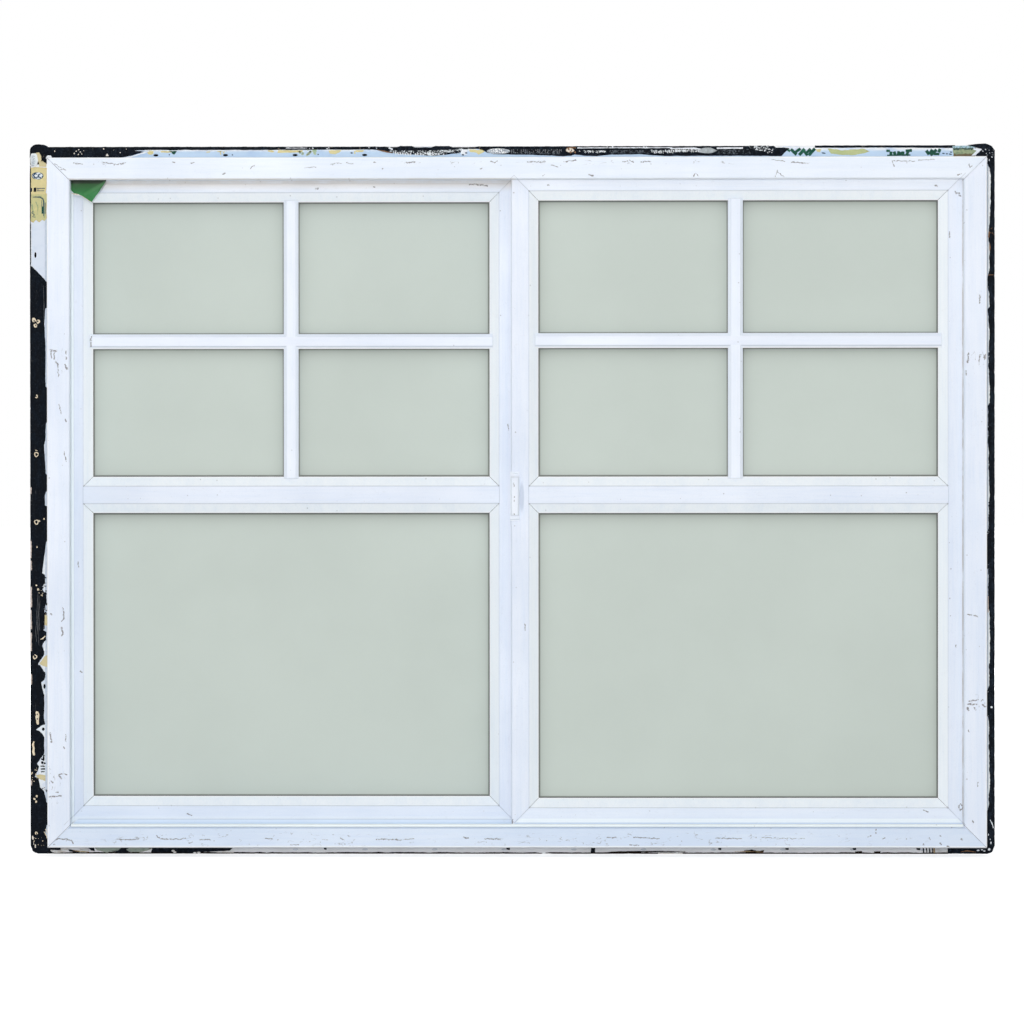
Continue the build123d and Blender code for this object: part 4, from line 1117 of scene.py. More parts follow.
def lay_left_scraps():
    """Tape, torn paper and edges of wrap on the left side of the fin."""
    tape = Layer()
    tape.add("left", [(30, 0.2), (29.5, 12), (30.5, 24.5), (52, 24.3), (66, 23.4), (70, 25), (70, 0.2)],
             0.45, 0.25, 0.3, 0.6)
    finish = scrap("yellow_tape", TAPE_YELLOW, screen(214, 172, 96), screen(238, 222, 166), 0.7)
    tape.finished("yellow_tape", finish, "fin_vinyl")
    olive = Layer()
    olive.add("left", [(68, 0.2), (68, 26), (76, 26.5), (84, 25), (92, 24.2), (104, 24.6), (109, 23.5), (106, 18),
                       (110, 13.5), (106, 9), (110.5, 5), (107, 0.2)], 0.5, 0.25, 0.3, 0.8)
    finish = scrap("olive_tape", TAPE_OLIVE, screen(204, 148, 82), screen(228, 214, 150), 0.7, 160.0)
    olive.finished("olive_tape", finish, "fin_vinyl")
    paper = Layer()
    paper.add("left", [(10, 2), (9, 8), (12, 12), (20, 13), (28, 10), (30, 5), (26, 1.5), (16, 1)], 3.2, 0.2, 0.3, 0.5)
    paper.add("left", oval(42.2, 11.4, 5.2, 8.4), 0.95, 0.15, 0.1, 0.5)
    finish = scrap("white_paper", screen(232, 238, 242), screen(205, 203, 195), screen(192, 204, 214), 0.8)
    paper.finished("white_paper", finish, "fin_vinyl")
    tan = Layer()
    tan.add("left", [(9, 9), (8, 14), (13, 17), (20, 17), (24, 14), (20, 12), (14, 11)], 3.25, 0.25, 0.3, 0.5)
    tan.add("left", [(22, 13), (20, 19), (24, 24), (29, 24), (29, 14)], 1.3, 0.2, 0.2, 0.4)
    tan.add("left", [(741, 26), (744, 21), (753.5, 13.4), (755, 13.4), (758, 20), (760, 26)], 0.8, 0.2, 0.2, 0.3)
    tan.add("left", [(683, 20.6), (684, 25), (699, 25), (698, 20.8), (690, 20)], 0.8, 0.2, 0.2, 0.3)
    tan.add("left", [(917.5, 7.5), (916, 14), (917.5, 22), (926, 22), (923, 14), (920, 9)], 0.5, 0.2, 0.2, 0.4)
    finish = scrap("tan_paper", TAN_PAPER, screen(204, 190, 148), screen(196, 192, 146))
    tan.finished("tan_paper", finish, "fin_vinyl")
    white = Layer()
    for outline in (
        ribbon([(108, 2.3), (140, 2.1), (170, 2.2)], 1.4), ribbon([(171.5, 1.4), (182, 9.4), (197.5, 22.6)], 1.6),
        [(576, 29), (586, 23), (603, 20), (622, 18), (640, 18), (655, 24), (650, 29)],
        [(708, 29), (712, 23), (723, 21), (733, 19), (741, 22), (730, 29)],
        [(752, 14), (768, 21), (772, 28), (757, 29), (748, 24)],
        [(783, 15.5), (798, 19), (806, 23), (800, 29), (782, 29)],
        [(842, 22), (850, 9), (856, 13), (864, 21), (862, 29), (842, 29)],
        [(886, 21), (901, 10.5), (913, 12.5), (924, 10), (938, 15), (944, 29), (886, 29)],
        [(238, 24.5), (300, 24), (350, 24.5), (350, 29), (238, 29)],
        [(404, 25), (436, 22), (478, 25), (476, 29), (404, 29)],
    ):
        white.add("left", outline, 0.3, 0.12, 0.1, 0.5)
    finish = scrap("torn_white", screen(238, 243, 249), screen(222, 228, 234), screen(204, 218, 228))
    white.finished("torn_white", finish, "fin_vinyl")
    bits = Layer()
    for side, seed, count, along, inward, size in (
        ("left", 31, 12, (628, 652), (16, 23), (0.6, 2.4)), ("left", 32, 18, (652, 700), (20, 24), (0.6, 1.8)),
        ("left", 35, 8, (888, 904), (14, 22), (0.6, 1.8)), ("left", 36, 5, (928, 942), (16, 24), (0.5, 1.6)),
    ):
        scatter(bits, side, seed, count, along, inward, size, 0.75)
    for along, inward, half_length, half_width in (
        (787.8, 20.6, 3.4, 1.4), (850, 19, 2.1, 1.9), (892.6, 19.2, 4.2, 1.4), (898.8, 17.2, 2.2, 1.7),
    ):
        bits.add("left", oval(along, inward, half_length, half_width), 0.75, 0.3, 0.2, 0.4, 1.0, 2.0)
    for path, width, lift in (
        ([(904, 14.8), (904.5, 21)], 1.7, 0.8), ([(908.4, 15), (908, 21)], 1.9, 0.8),
        ([(912.4, 15.4), (912, 20.6)], 1.7, 0.8), ([(657, 21), (676, 21.4)], 1.6, 0.8),
        ([(683, 20.4), (704, 20.2)], 1.4, 1.2), ([(28, 0.9), (70, 0.8), (112, 0.9)], 1.9, 1.5),
        ([(43, 0.6), (47, 0.4), (64, 0.6)], 2.6, 1.6), ([(112, 0.6), (172, 0.8)], 1.6, 0.8),
        ([(15, 18), (19, 20.5), (22, 23)], 4.6, 3.7), ([(11, 22), (21, 21.5)], 4.0, 3.2),
        ([(59.4, 7.6), (65.6, 7.6)], 3.6, 1.3), ([(59.6, 1.6), (65.6, 1.6)], 2.4, 1.3),
    ):
        bits.add("left", ribbon(path, width), lift, 0.3, 0.2, 0.4, 1.2, 2.0)
    bits.finished("membrane_bits", TAR, "membrane")


def scribble(seed, along, inward, length, height, turns):
    """A path that wanders to and fro like a worn print."""
    draw = random.Random(seed)
    path = []
    for i in range(turns):
        swing = inward + height * (i % 2) + draw.uniform(-0.2, 0.2) * height
        path.append((along + length * i / (turns - 1) + draw.uniform(-0.25, 0.25) * length / turns, swing))
    return path


def lay_print():
    """Worn blue and green print: plain strokes that spell nothing."""
    blue = Layer()
    for path, width in (
        ([(40, 10.5), (39, 7.5), (41.5, 5.5), (44.5, 7), (45.5, 10), (43, 11.5)], 1.5),
        ([(39.5, 15.5), (41, 12.5), (44, 13), (45, 16.5)], 1.5), ([(42.5, 18), (44.5, 19)], 1.1),
        (oval(42.2, 11.4, 5.0, 8.2)[:7], 0.7), (oval(42.2, 11.4, 5.0, 8.2)[7:], 0.7),
        ([(60.5, 10), (60.5, 22)], 0.7), ([(64, 10), (64, 21)], 0.6),
        ([(60, 1.0), (65, 1.0)], 0.7), ([(60, 2.7), (65, 2.7)], 0.7), ([(61.5, 11), (63, 12), (61.5, 13)], 0.5),
        ([(73.2, 4.4), (73.2, 15), (76, 19), (80, 20.2), (101, 20)], 1.0),
        ([(77, 17), (84, 17.6), (98, 17.4)], 0.6), ([(81, 22.5), (98, 22.4)], 0.6),
        ([(93, 5), (96, 3), (99, 6.5), (102, 4), (103, 7)], 0.8),
    ):
        blue.add("left", ribbon(path, 1.5 * width), 1.2, 0.05, 0.0, 0.1, 1.0, 2.0)
    for seed, along in ((1, 13), (2, 18), (3, 23)):
        blue.add("left", ribbon(scribble(seed, along, 3.5, 5, 4, 5), 0.5), 3.75, 0.05, 0.0, 0.1, 1.0, 2.0)
    for along, inward, half in ((1332, 11.5, 2.0), (1337, 12, 1.6), (1342, 12.5, 2.2), (1157.5, 10.7, 3.0), (203.8, 11.7, 1.0), (296, 12, 1.1), (421, 11.5, 1.0),
                                (470, 9.5, 1.8), (1343, 9.5, 1.8)):
        blue.add("top", oval(along, inward, half, 0.9, 8), 0.5, 0.06, 0.0, 0.2, 1.0, 2.0)
    for along, inward in ((632.3, 12.6), (637, 9.8)):
        blue.add("top", oval(along, inward, 1.8, 1.2, 8), 2.5, 0.06, 0.0, 0.2, 1.0, 2.0)
    blue.finished("blue_print", scrap("blue_print", INK_BLUE, INK_BLUE, screen(70, 96, 130)), "fin_vinyl")
    green = Layer()
    for start, end, width in (
        ((1110, 5), (1118, 13), 2.3), ((1124, 4), (1117, 9), 2.2), ((1122, 13.5), (1130, 4.5), 2.4),
        ((1128, 6), (1134, 14), 2.0), ((1139, 4.5), (1133, 10), 2.2), ((1136, 13.5), (1145, 4), 2.3),
        ((1104, 5), (1109, 8), 1.8), ((1249, 7.5), (1254, 7.5), 1.8), ((1256, 8.5), (1255, 14.5), 2.3),
        ((1260, 8.5), (1262, 14.5), 2.3), ((1267, 8), (1266, 14.5), 2.2), ((1265, 11), (1271, 11), 1.8),
        ((1273, 8.5), (1273, 14.5), 2.3), ((1277, 7.5), (1286, 7), 2.0), ((1281, 8), (1278, 14.5), 2.2),
        ((1307, 7), (1311, 13), 2.4), ((1316, 6), (1312, 11), 2.2), ((1313, 14), (1322, 6), 2.4),
        ((1318, 12), (1326, 12.5), 2.0), ((1327, 5), (1325, 10), 2.2), ((204, 4), (209, 7), 2.2),
        ((214, 3.5), (209, 10.5), 2.4),
    ):
        green.add("top", ribbon([start, end], 1.9 * width), 0.5, 0.06, 0.0, 0.35, 1.0, 2.0)
    green.add("top", ribbon([(1250, 14), (1284, 13.6)], 1.8), 0.5, 0.06, 0.0, 0.4, 1.0, 2.0)
    green.add("left", ribbon([(87, 19), (97.5, 18.8)], 2.2), 1.3, 0.06, 0.0, 0.3, 1.0, 2.0)
    green.finished("green_print", scrap("green_print", INK_GREEN, INK_GREEN, screen(50, 128, 96)), "fin_vinyl")
    teal = Layer()
    for path, width in (([(73, 7), (73, 15), (76, 19.5), (84, 21), (103, 21)], 2.6), ([(84, 3), (96, 5), (104, 8)], 2.4),
                        ([(80, 9), (88, 12), (99, 11)], 2.0)):
        teal.add("left", ribbon(path, width), 1.0, 0.05, 0.0, 0.9, 1.0, 2.0)
    finish = scrap("teal_print", screen(150, 166, 132), screen(176, 180, 130), screen(186, 184, 128), 0.9, 300.0)
    teal.finished("teal_print", finish, "fin_vinyl")
    faded = Layer()
    scatter(faded, "top", 51, 16, (394, 421), (5, 12), (0.8, 2.8), 0.3)
    faded.finished("faded_green", scrap("faded_green", screen(160, 186, 150), screen(190, 200, 170),
                                        screen(200, 210, 190)), "fin_vinyl")


def lay_top_scraps():
    """Paint, paper and tape marks along the top of the fin."""
    yellow = Layer()
    for outline in (
        oval(176.5, 8.3, 4.6, 3.2), ribbon([(191, 7.0), (209, 7.4)], 2.0),
        [(344, 5.3), (399, 5.3), (397, 8.5), (372, 9.2), (352, 8.5)],
        [(436, 5.5), (455, 5.5), (452, 9), (446, 11.2), (438, 10)],
        [(471, 5.5), (488, 5.5), (486, 8), (478, 8.5)], ribbon([(474, 7), (475, 10.5)], 2.0),
        [(641, 4.7), (661, 4.7), (664, 8), (660, 10), (655, 12.2), (651, 9), (643, 8.5)],
        ribbon([(278, 6.5), (279, 12)], 1.8), ribbon([(284, 6.5), (283, 10)], 1.6), ribbon([(274, 7), (288, 6)], 1.4),
        ribbon([(258, 8), (264, 7.5)], 1.6), [(1146, 4.8), (1154, 5), (1153, 9.5), (1148, 9)],
    ):
        yellow.add("top", outline, 0.3, 0.12, 0.1, 0.5, 1.2, 2.5)
    finish = scrap("yellow_tape_bits", screen(226, 214, 160), screen(214, 200, 144), screen(206, 204, 152))
    yellow.finished("yellow_tape_bits", finish, "fin_vinyl")
    olive = Layer()
    olive.add("top", [(1164, 4.3), (1175, 4.7), (1184, 7.4), (1198, 5.8), (1216, 4.7), (1225, 8), (1217, 11.5),
                      (1199, 13.5), (1181, 13), (1169, 11.5), (1166, 8)], 0.3, 0.12, 0.1, 0.8, 1.5, 3.0)
    finish = scrap("olive_paint", OLIVE_PAINT, screen(176, 172, 110), screen(212, 212, 160))
    olive.finished("olive_paint", finish, "fin_vinyl")
    patch = Layer()
    patch.add("top", [(1345, 0.3), (1376, 0.3), (1384, 8), (1376, 18), (1347, 18)], 0.6, 0.2, 0.2, 0.5, 1.5, 3.0)
    patch.finished("patterned_patch", patterned_paper(), "fin_vinyl")
    white = Layer()
    for outline in (
        ribbon([(799, 2.8), (845, 2.6)], 1.2), ribbon([(843, 2.6), (900, 2.6), (937, 2.4)], 1.3),
        ribbon([(934, 3.6), (970, 3.6), (979, 5)], 2.4),
        ribbon([(1002, 3.4), (1040, 3.2)], 2.0), ribbon([(374, 2.2), (405, 2.3)], 0.7),
        ribbon([(172, 5.8), (240, 5.8), (345, 6.0)], 1.3), ribbon([(134, 16.9), (148, 14.8), (159, 11.4)], 1.8),
        ribbon([(159, 11.2), (168, 8.6), (174, 7)], 1.8),
        [(48, 17.5), (50, 15.8), (53, 17.5)], [(82, 17.5), (84, 15.6), (89, 15.8), (91, 17.5)],
        [(22, 17), (26, 12.5), (31, 12.5), (33, 17)], ribbon([(524, 2.0), (530, 4.6)], 2.0),
        [(630, 4.4), (639, 4.4), (638, 12), (632, 14), (629, 11)], ribbon([(1110, 1.8), (1122, 2.6)], 1.8),
        ribbon([(1393.7, 6.9), (1397.3, 5.2), (1401.7, 7), (1403.6, 12.7), (1403, 18.5)], 1.9),
        oval(1396.8, 10.8, 2.0, 1.4, 40), oval(1397.3, 14.9, 1.2, 1.1), oval(1399.0, 22.2, 1.2, 2.6),
    ):
        white.add("top", outline, 2.1, 0.15, 0.1, 0.4, 1.2, 2.0)
    for outline in (ribbon([(982, 7), (987, 4.2), (994, 2.2)], 1.4), oval(1003.8, 9.4, 1.6, 0.7), oval(1010.5, 6.8, 1.2, 0.9),
                    oval(1015.6, 5.9, 1.8, 1.0), oval(1025, 8.6, 1.6, 2.2)):
        white.add("right", outline, 1.9, 0.15, 0.1, 0.5, 1.0, 2.0)
    scatter(white, "top", 69, 14, (1394, 1403.5), (4, 20), (0.5, 1.4), 2.1)
    scatter(white, "top", 72, 12, (1388, 1404), (1, 18), (0.4, 1.2), 3.4)
    scatter(white, "right", 71, 60, (30, 960), (8.6, 10.6), (0.3, 0.9), 1.2)
    white.add("right", oval(818, 4.8, 1.7, 1.5), 1.9, 0.15, 0.1, 0.5, 1.0, 2.0)
    for outline in (oval(1382, 5.5, 2.2, 1.0), oval(1387.5, 6.2, 1.6, 1.0), oval(1391, 4.6, 1.8, 0.9)):
        white.add("bottom", outline, 1.9, 0.15, 0.1, 0.5, 1.0, 2.0)
    for seed, count, along, inward, size in (
        (61, 7, (390, 520), (1.2, 3.2), (0.6, 1.4)), (62, 7, (1070, 1084), (4, 10), (0.5, 1.4)),
        (63, 10, (803, 838), (7, 9.5), (0.5, 1.3)), (64, 10, (908, 936), (7.5, 10.5), (0.5, 1.4)),
        (67, 8, (840, 905), (1.0, 2.0), (0.5, 1.2)),
    ):
        scatter(white, "top", seed, count, along, inward, size, 1.75)
    finish = scrap("white_streaks", screen(242, 246, 251), screen(228, 234, 242), screen(222, 230, 240))
    white.finished("white_streaks", finish, "membrane")
    corner = Layer()
    corner.add("top", [(1375.5, 4), (1386.5, 4.6), (1388.4, 5.8), (1379, 14.6), (1372.5, 14.6), (1380, 7.6), (1375.5, 6)],
               1.1, 0.2, 0.1, 0.3, 1.2, 2.0)
    corner.finished("corner_paper", scrap("corner_paper", screen(236, 242, 250), WRAP_PALE, WRAP_PALE), "fin_vinyl")
    rust = Layer()
    rust.add("top", ribbon([(508, 5.2), (518, 7.4), (530, 9.9)], 1.6), 1.3, 0.3, 0.1, 0.4, 1.2, 2.0)
    rust.add("top", ribbon([(783, 3.5), (790, 1.6), (797, 3.2)], 1.8), 1.75, 0.3, 0.1, 0.5, 1.2, 2.0)
    scatter(rust, "top", 66, 6, (783, 800), (2, 10), (0.8, 1.8), 2.1)
    rust.add("bottom", ribbon([(1357, 3.0), (1366, 4.9), (1379, 2.8)], 1.5), 1.5, 0.2, 0.1, 0.4, 1.2, 2.0)
    scatter(rust, "right", 68, 7, (118, 134), (1, 9), (0.4, 1.2), 1.7)
    rust.add("right", ribbon([(188, 1), (188.6, 10)], 0.9), 1.7, 0.15, 0.1, 0.3, 1.2, 2.0)
    for path, width in (([(125, 8.4), (134, 8.8)], 1.6), ([(143, 7.4), (152, 7.0)], 1.3), ([(129, 1), (130, 1.4)], 1.2)):
        rust.add("right", ribbon(path, width), 1.7, 0.15, 0.1, 0.5, 1.2, 2.0)
    rust.finished("rusty_dirt", plain("rusty_dirt", RUST_BROWN, 0.7, 200.0, 0.5, 0.2), "membrane")


def patterned_paper():
    """Printed paper in ragged level bands: pale blue, dark green, olive and brown from the top down."""
    material, g, shader, place = new_material("patterned_paper")
    ragged = g.math("MULTIPLY", g.math("SUBTRACT", g.noise(place, 330.0, 4.0, 0.7), 0.5), 9.0 * MM)
    down = g.math("ADD", g.math("SUBTRACT", FIN_TOP, g.split(place)["Z"]), ragged)
    cloud = g.noise(place, 220.0, 4.0, 0.6)
    body = g.mix(g.fade(down, 3.0 * MM, 3.8 * MM), screen(168, 200, 216), screen(30, 58, 50))
    body = g.mix(g.fade(down, 5.6 * MM, 6.6 * MM), body, screen(150, 164, 128))
    body = g.mix(g.fade(cloud, 0.48, 0.62, 0.0, 0.6), body, screen(96, 122, 98))
    body = g.mix(g.fade(down, 11.6 * MM, 12.6 * MM), body, screen(104, 92, 66))
    g.put(shader.inputs["Base Color"], body)
    g.put(shader.inputs["Roughness"], g.fade(cloud, 0.3, 0.7, 0.6, 0.8))
    g.put(shader.inputs["Normal"], g.bump(cloud, 0.3, 0.5 * MM))
    return material


def lay_bottom_scraps():
    """Torn membrane, paper and a ragged dirty edge along the bottom of the fin."""
    black = Layer()
    for outline in (
        [(0.5, 13), (26, 13), (44, 8.6), (44, 5.2), (27, 5.6), (34, 1.5), (27, 0.3), (11, 0), (3, 4)],
        [(55, 6.2), (63, 5.4), (72, 2.6), (68, 1.2), (57, 3.4)], [(80, 12.8), (92, 12.8), (94, 3.5), (88, 5)],
        [(130, 8), (146, 12.8), (152, 12.8), (140, 5.5), (146, 2), (132, 1), (118, 4), (128, 4.6)],
        [(176, 2), (180, 12.8), (300, 12.8), (291, 4.5), (262, 3), (240, 1.5), (205, 2)],
        [(1338, 12.8), (1338, 1), (1380, 0.5), (1395, 0), (1403, 4), (1406, 13)],
    ):
        black.add("bottom", outline, 0.3, 0.8, 0.5, 0.4, 1.5, 3.0)
    for along, half in ((430.5, 2.6), (697.5, 3.2), (821, 3.4), (1006, 2.8), (1104, 3.2), (1202, 3.0), (1295, 3.4)):
        black.add("bottom", [(along - half, 9.5), (along - half * 0.6, 6.2), (along + half * 0.7, 5.6), (along + half, 9.5)],
                  0.35, 0.2, 0.1, 0.4, 1.2, 2.0)
    black.add("bottom", [(818.6, 9), (818, 2.4), (824, 2.4), (824.6, 9)], 0.7, 0.3, 0.1, 0.3, 1.2, 2.0)
    for along in (1302.5, 1307, 1311.5, 1315.5):
        black.add("bottom", ribbon([(along, 9), (along + 0.5, 2)], 1.7), 0.6, 0.15, 0.1, 0.3, 1.2, 2.0)
    black.finished("bottom_membrane_torn", TAR, "membrane")
    edge = Layer()
    for start, end, seed in ((26, 420, 21), (415, 760, 22), (752, 1100, 23), (1090, 1345, 24)):
        draw = random.Random(seed)
        path, along = [], float(start)
        while along < end:
            path.append((along, 0.95 + draw.uniform(-0.3, 0.4)))
            along += draw.uniform(6.0, 16.0)
        edge.add("bottom", ribbon(path, 2.35), 0.2, 0.5, 0.3, 0.45, 1.5, 3.0)
    for path, width in (([(842, 2.0), (862, 3.0), (890, 3.4), (915, 3.6)], 1.8), ([(884, 3.0), (914, 3.4), (956, 3.6)], 1.7),
                        ([(1203, 2.8), (1213, 3.2)], 2.0), ([(1231, 2.6), (1240, 3.0)], 1.8)):
        edge.add("bottom", ribbon(path, width), 0.6, 0.3, 0.2, 0.5, 1.2, 2.0)
    edge.add("bottom", [(1041, 4.5), (1052, 6.5), (1064, 4), (1071, 6), (1068, 1), (1046, 1)], 0.3, 0.4, 0.3, 0.6)
    edge.finished("dirty_edge", plain("dirty_edge", screen(34, 25, 19), 0.7, 150.0, 0.6, 0.05), "membrane")
    pale = Layer()
    pale.add("bottom", [(30, 5), (44, 4.6), (54, 2.6), (40, 1.2), (31, 1.4)], 0.3, 0.3, 0.3, 0.4)
    pale.add("bottom", [(38, 8.6), (58, 8.4), (54, 5.6), (44, 5.0)], 0.35, 0.3, 0.3, 0.5)
    pale.add("bottom", ribbon([(916, 0.8), (952, 0.8)], 1.5), 1.0, 0.2, 0.1, 0.2)
    for along, inward in ((208.5, 4.2), (211, 2.4), (240, 1.6), (246, 1.8)):
        pale.add("bottom", oval(along, inward, 2.4, 1.4), 1.6, 0.2, 0.1, 0.4, 1.0, 2.0)
    pale.add("bottom", [(70, 7), (82, 8.6), (90, 3.6), (78, 3.8)], 0.3, 0.3, 0.4, 0.5)
    pale.add("bottom", [(1317, 12), (1338, 12), (1338, 2), (1317, 2)], 0.3, 0.2, 0.1, 0.3)
    pale.add("bottom", ribbon([(272, 2.2), (284, 2.4), (297, 2.0)], 1.4), 1.2, 0.2, 0.1, 0.3)
    finish = scrap("pale_paper", screen(236, 236, 236), screen(214, 206, 196), screen(212, 210, 208))
    pale.finished("pale_paper", finish, "fin_vinyl")
    green = Layer()
    green.add("bottom", [(92, 12.5), (182, 12.5), (176, 6), (160, 2), (130, 3.5), (112, 1.5), (97, 5)],
              0.25, 0.3, 0.4, 0.6)
    finish = scrap("green_grey_paper", screen(176, 186, 174), screen(120, 112, 92), screen(120, 132, 122), 0.8, 120.0)
    green.finished("green_grey_paper", finish, "fin_vinyl")
    brown = Layer()
    brown.add("bottom", ribbon([(1318, 9.5), (1318.5, 1.5)], 2.2), 0.7, 0.15, 0.1, 0.3, 1.2, 2.0)
    brown.add("bottom", ribbon([(62, 4.8), (74, 3.4), (86, 2.4)], 1.4), 0.9, 0.2, 0.2, 0.4, 1.2, 2.0)
    brown.add("bottom", ribbon([(1028, 3.4), (1048, 3.8), (1070, 2.6)], 1.0), 0.8, 0.2, 0.2, 0.4, 1.2, 2.0)
    brown.finished("tan_strips", scrap("tan_strips", screen(186, 168, 124), RUST_BROWN, RUST_BROWN), "fin_vinyl")


def lay_nail_scars():
    """Pale torn rings, scrapes and flecks where nails were pulled out of the membrane, and painted sheen lines on it.
    """
    scars = Layer()
    for along, inward, size, first, sweep in (
        (364.2, 9.1, 1.9, -60, 250), (448.8, 9.3, 3.1, 100, 350), (547.6, 9.2, 3.1, 200, 350),
        (744.3, 6.9, 2.9, -120, 320), (1002, 8.5, 1.6, 40, 300),
    ):
        ring = []
        for i in range(13):
            angle = math.radians(first + sweep * i / 12)
            uneven = size * (1 + 0.12 * math.sin(3 * angle + along))
            ring.append((along + uneven * math.cos(angle), inward + uneven * 0.85 * math.sin(angle)))
        scars.add("left", ribbon(ring, 1.45), 1.75, 0.25, 0.1, 0.15, 0.6, 2.0)
    for path, width in (
        ([(442.5, 8), (443.5, 11)], 1.0), ([(545, 12.6), (547, 14.4)], 1.6),
        ([(868, 5), (873, 4), (878, 4.8), (883, 4.2), (888, 5.6)], 3.2),
        ([(719, 15), (717.5, 18.5), (714, 22)], 2.2),
        ([(1000, 20), (1006, 23.5), (1010, 24)], 1.2), ([(996, 22), (1001, 24.2)], 0.9),
    ):
        scars.add("left", ribbon(path, width), 1.75, 0.25, 0.3, 0.6, 0.8, 2.0)
    for along, inward, half_length, half_width, turn in (
        (252.6, 5.8, 3.2, 2.7, 30), (254.8, 11.8, 3.0, 3.0, 0), (260.8, 8.2, 3.1, 2.6, 10),
        (948, 9.5, 1.8, 1.4, 20), (952, 6, 1.6, 1.2, 50), (956, 8.6, 1.7, 1.3, 0),
        (543, 20.5, 1.6, 1.0, 0), (584, 9.8, 1.2, 1.0, 0), (640, 9.0, 1.2, 1.2, 0), (646, 11.5, 1.6, 1.0, 0),
    ):
        scars.add("left", oval(along, inward, half_length, half_width, turn), 1.7, 0.3, 0.3, 0.7, 0.9, 2.0)
    for seed, count, along, inward, size in (
        (41, 12, (906, 930), (1.5, 10), (0.4, 1.0)), (42, 6, (1008, 1026), (4, 13), (0.4, 0.9)),
        (43, 8, (646, 656), (13, 20), (0.4, 1.1)), (44, 4, (1008, 1022), (15, 22), (0.4, 0.9)),
    ):
        scatter(scars, "left", seed, count, along, inward, size, 1.75)
    scars.add("left", [(823.5, 8.5), (826, 7.4), (829, 8.2), (832, 7.2), (836, 8.4), (841, 8.8), (843.5, 10),
                       (843, 12), (839, 12.8), (834, 12.2), (831, 13), (827, 12.9), (824.5, 12)],
              1.75, 0.25, 0.3, 0.5, 1.0, 2.0)
    finish = scrap("nail_scars", screen(240, 226, 200), screen(228, 210, 180), screen(208, 184, 146), 0.6, 300.0)
    scars.finished("nail_scars", finish, "membrane")
    holes = Layer()
    for along, inward, half_length, half_width in (
        (256.2, 8.6, 1.9, 1.5), (787.4, 20.8, 3.4, 1.6), (828.5, 10.2, 0.9, 0.9), (835, 10.4, 1.2, 0.9), (790.4, 6.2, 1.0, 1.0),
        (253.6, 6.2, 1.5, 0.9), (254.6, 11.4, 1.4, 1.2), (260.4, 8.4, 1.4, 0.9),
    ):
        side = "top" if along == 790.4 else "left"
        holes.add(side, oval(along, inward, half_length, half_width), 2.2, 0.15, 0.1, 0.4, 0.8, 2.0)
    holes.finished("scar_holes", TAR, "membrane")
    specks = Layer()
    for along, inward, size in ((4.5, 3.2, 1.0), (17, 5.5, 1.0), (36.5, 6.2, 1.3), (71.5, 4.2, 1.3), (68, 6.5, 1.0),
                                (65, 10, 1.2), (71, 11, 1.3), (76, 10.5, 1.2), (74, 7.5, 1.0), (79, 5.5, 0.9),
                                (108, 3.0, 1.3), (141, 3.3, 0.9), (132, 8.5, 1.0), (123, 4.5, 0.7)):
        specks.add("top", oval(along, inward, size * 0.9, size * 0.55, along * 7), 1.7, 0.2, 0.2, 0.5, 0.6, 2.0)
    specks.add("top", [(111, 13.5), (113, 9.5), (115.5, 13.5)], 1.7, 0.2, 0.2, 0.4, 0.8, 2.0)
    for start, end, near in ((1006, 1011, 2.8), (1013, 1019, 4.2), (1018, 1023, 6.6)):
        specks.add("left", ribbon([(start, near), (end, near + 0.8)], 1.2), 1.75, 0.2, 0.2, 0.9, 0.7, 2.0)
    finish = scrap("torn_specks", screen(240, 235, 226), screen(226, 214, 198), screen(226, 210, 186), 0.6, 300.0)
    specks.finished("torn_specks", finish, "membrane")
    strips = Layer()
    for start, end in ((497, 507), (575, 600), (604, 618), (642, 672), (676, 704), (709, 736), (770, 785), (925, 932)):
        strips.add("left", ribbon([(start, 1.2), (end, 1.4)], 1.9), 1.7, 0.2, 0.1, 0.7, 1.2, 2.0)
    strips.add("right", ribbon([(656, 9.8), (680, 9.8)], 1.6), 1.7, 0.2, 0.1, 0.3)
    finish = scrap("pale_strips", screen(212, 200, 194), screen(196, 180, 170), screen(160, 146, 138), 0.7)
    strips.finished("pale_strips", finish, "membrane")
    # Painted sheen: grey lines on the membrane.
    sheen = Layer()
    for shift, start, end in ((0.0, 650, 712), (1.6, 655, 728), (3.0, 662, 706), (-1.8, 690, 722)):
        path = [(start, 11.5 + shift), ((start + end) / 2, 9.6 + shift), (end, 11 + shift)]
        sheen.add("left", ribbon(path, 0.6), 1.75, 0.1, 0.0, 0.2, 2.0, 3.0)
    sheen.add("left", ribbon([(202, 19.6), (230, 20.6), (256, 20.2)], 0.6), 1.75, 0.1, 0.0, 0.2, 2.0, 3.0)
    sheen.finished("painted_sheen_lines", plain("painted_sheen_lines", screen(104, 106, 110), 0.6, 200.0, 0.5, 0.2), "membrane")


def lay_nails():
    """A flat washer that still sits in the top strip, and the torn round place of another one."""
    heads = Layer()
    heads.add("top", [(972.5, 6.6), (979, 4.2), (986, 2.4), (993, 2.6), (999, 5), (1002.5, 7), (997, 9.6), (990, 11),
                      (982, 10.4), (975, 8.6)], 1.7, 0.9, 0.1, 0.3, 1.2, 2.0)
    heads.finished("washer", plain("old_zinc", NAIL_GREY, 0.45, 260.0, 0.35), "fin_vinyl")
    torn = Layer()
    torn.add("top", oval(788.5, 6.0, 6.4, 3.4, 5, 16), 1.7, 0.3, 0.3, 0.7, 1.0, 2.0)
    finish = scrap("washer_mark", screen(234, 226, 212), screen(190, 170, 148), RUST_BROWN, 0.6, 400.0)
    torn.finished("washer_mark", finish, "fin_vinyl")


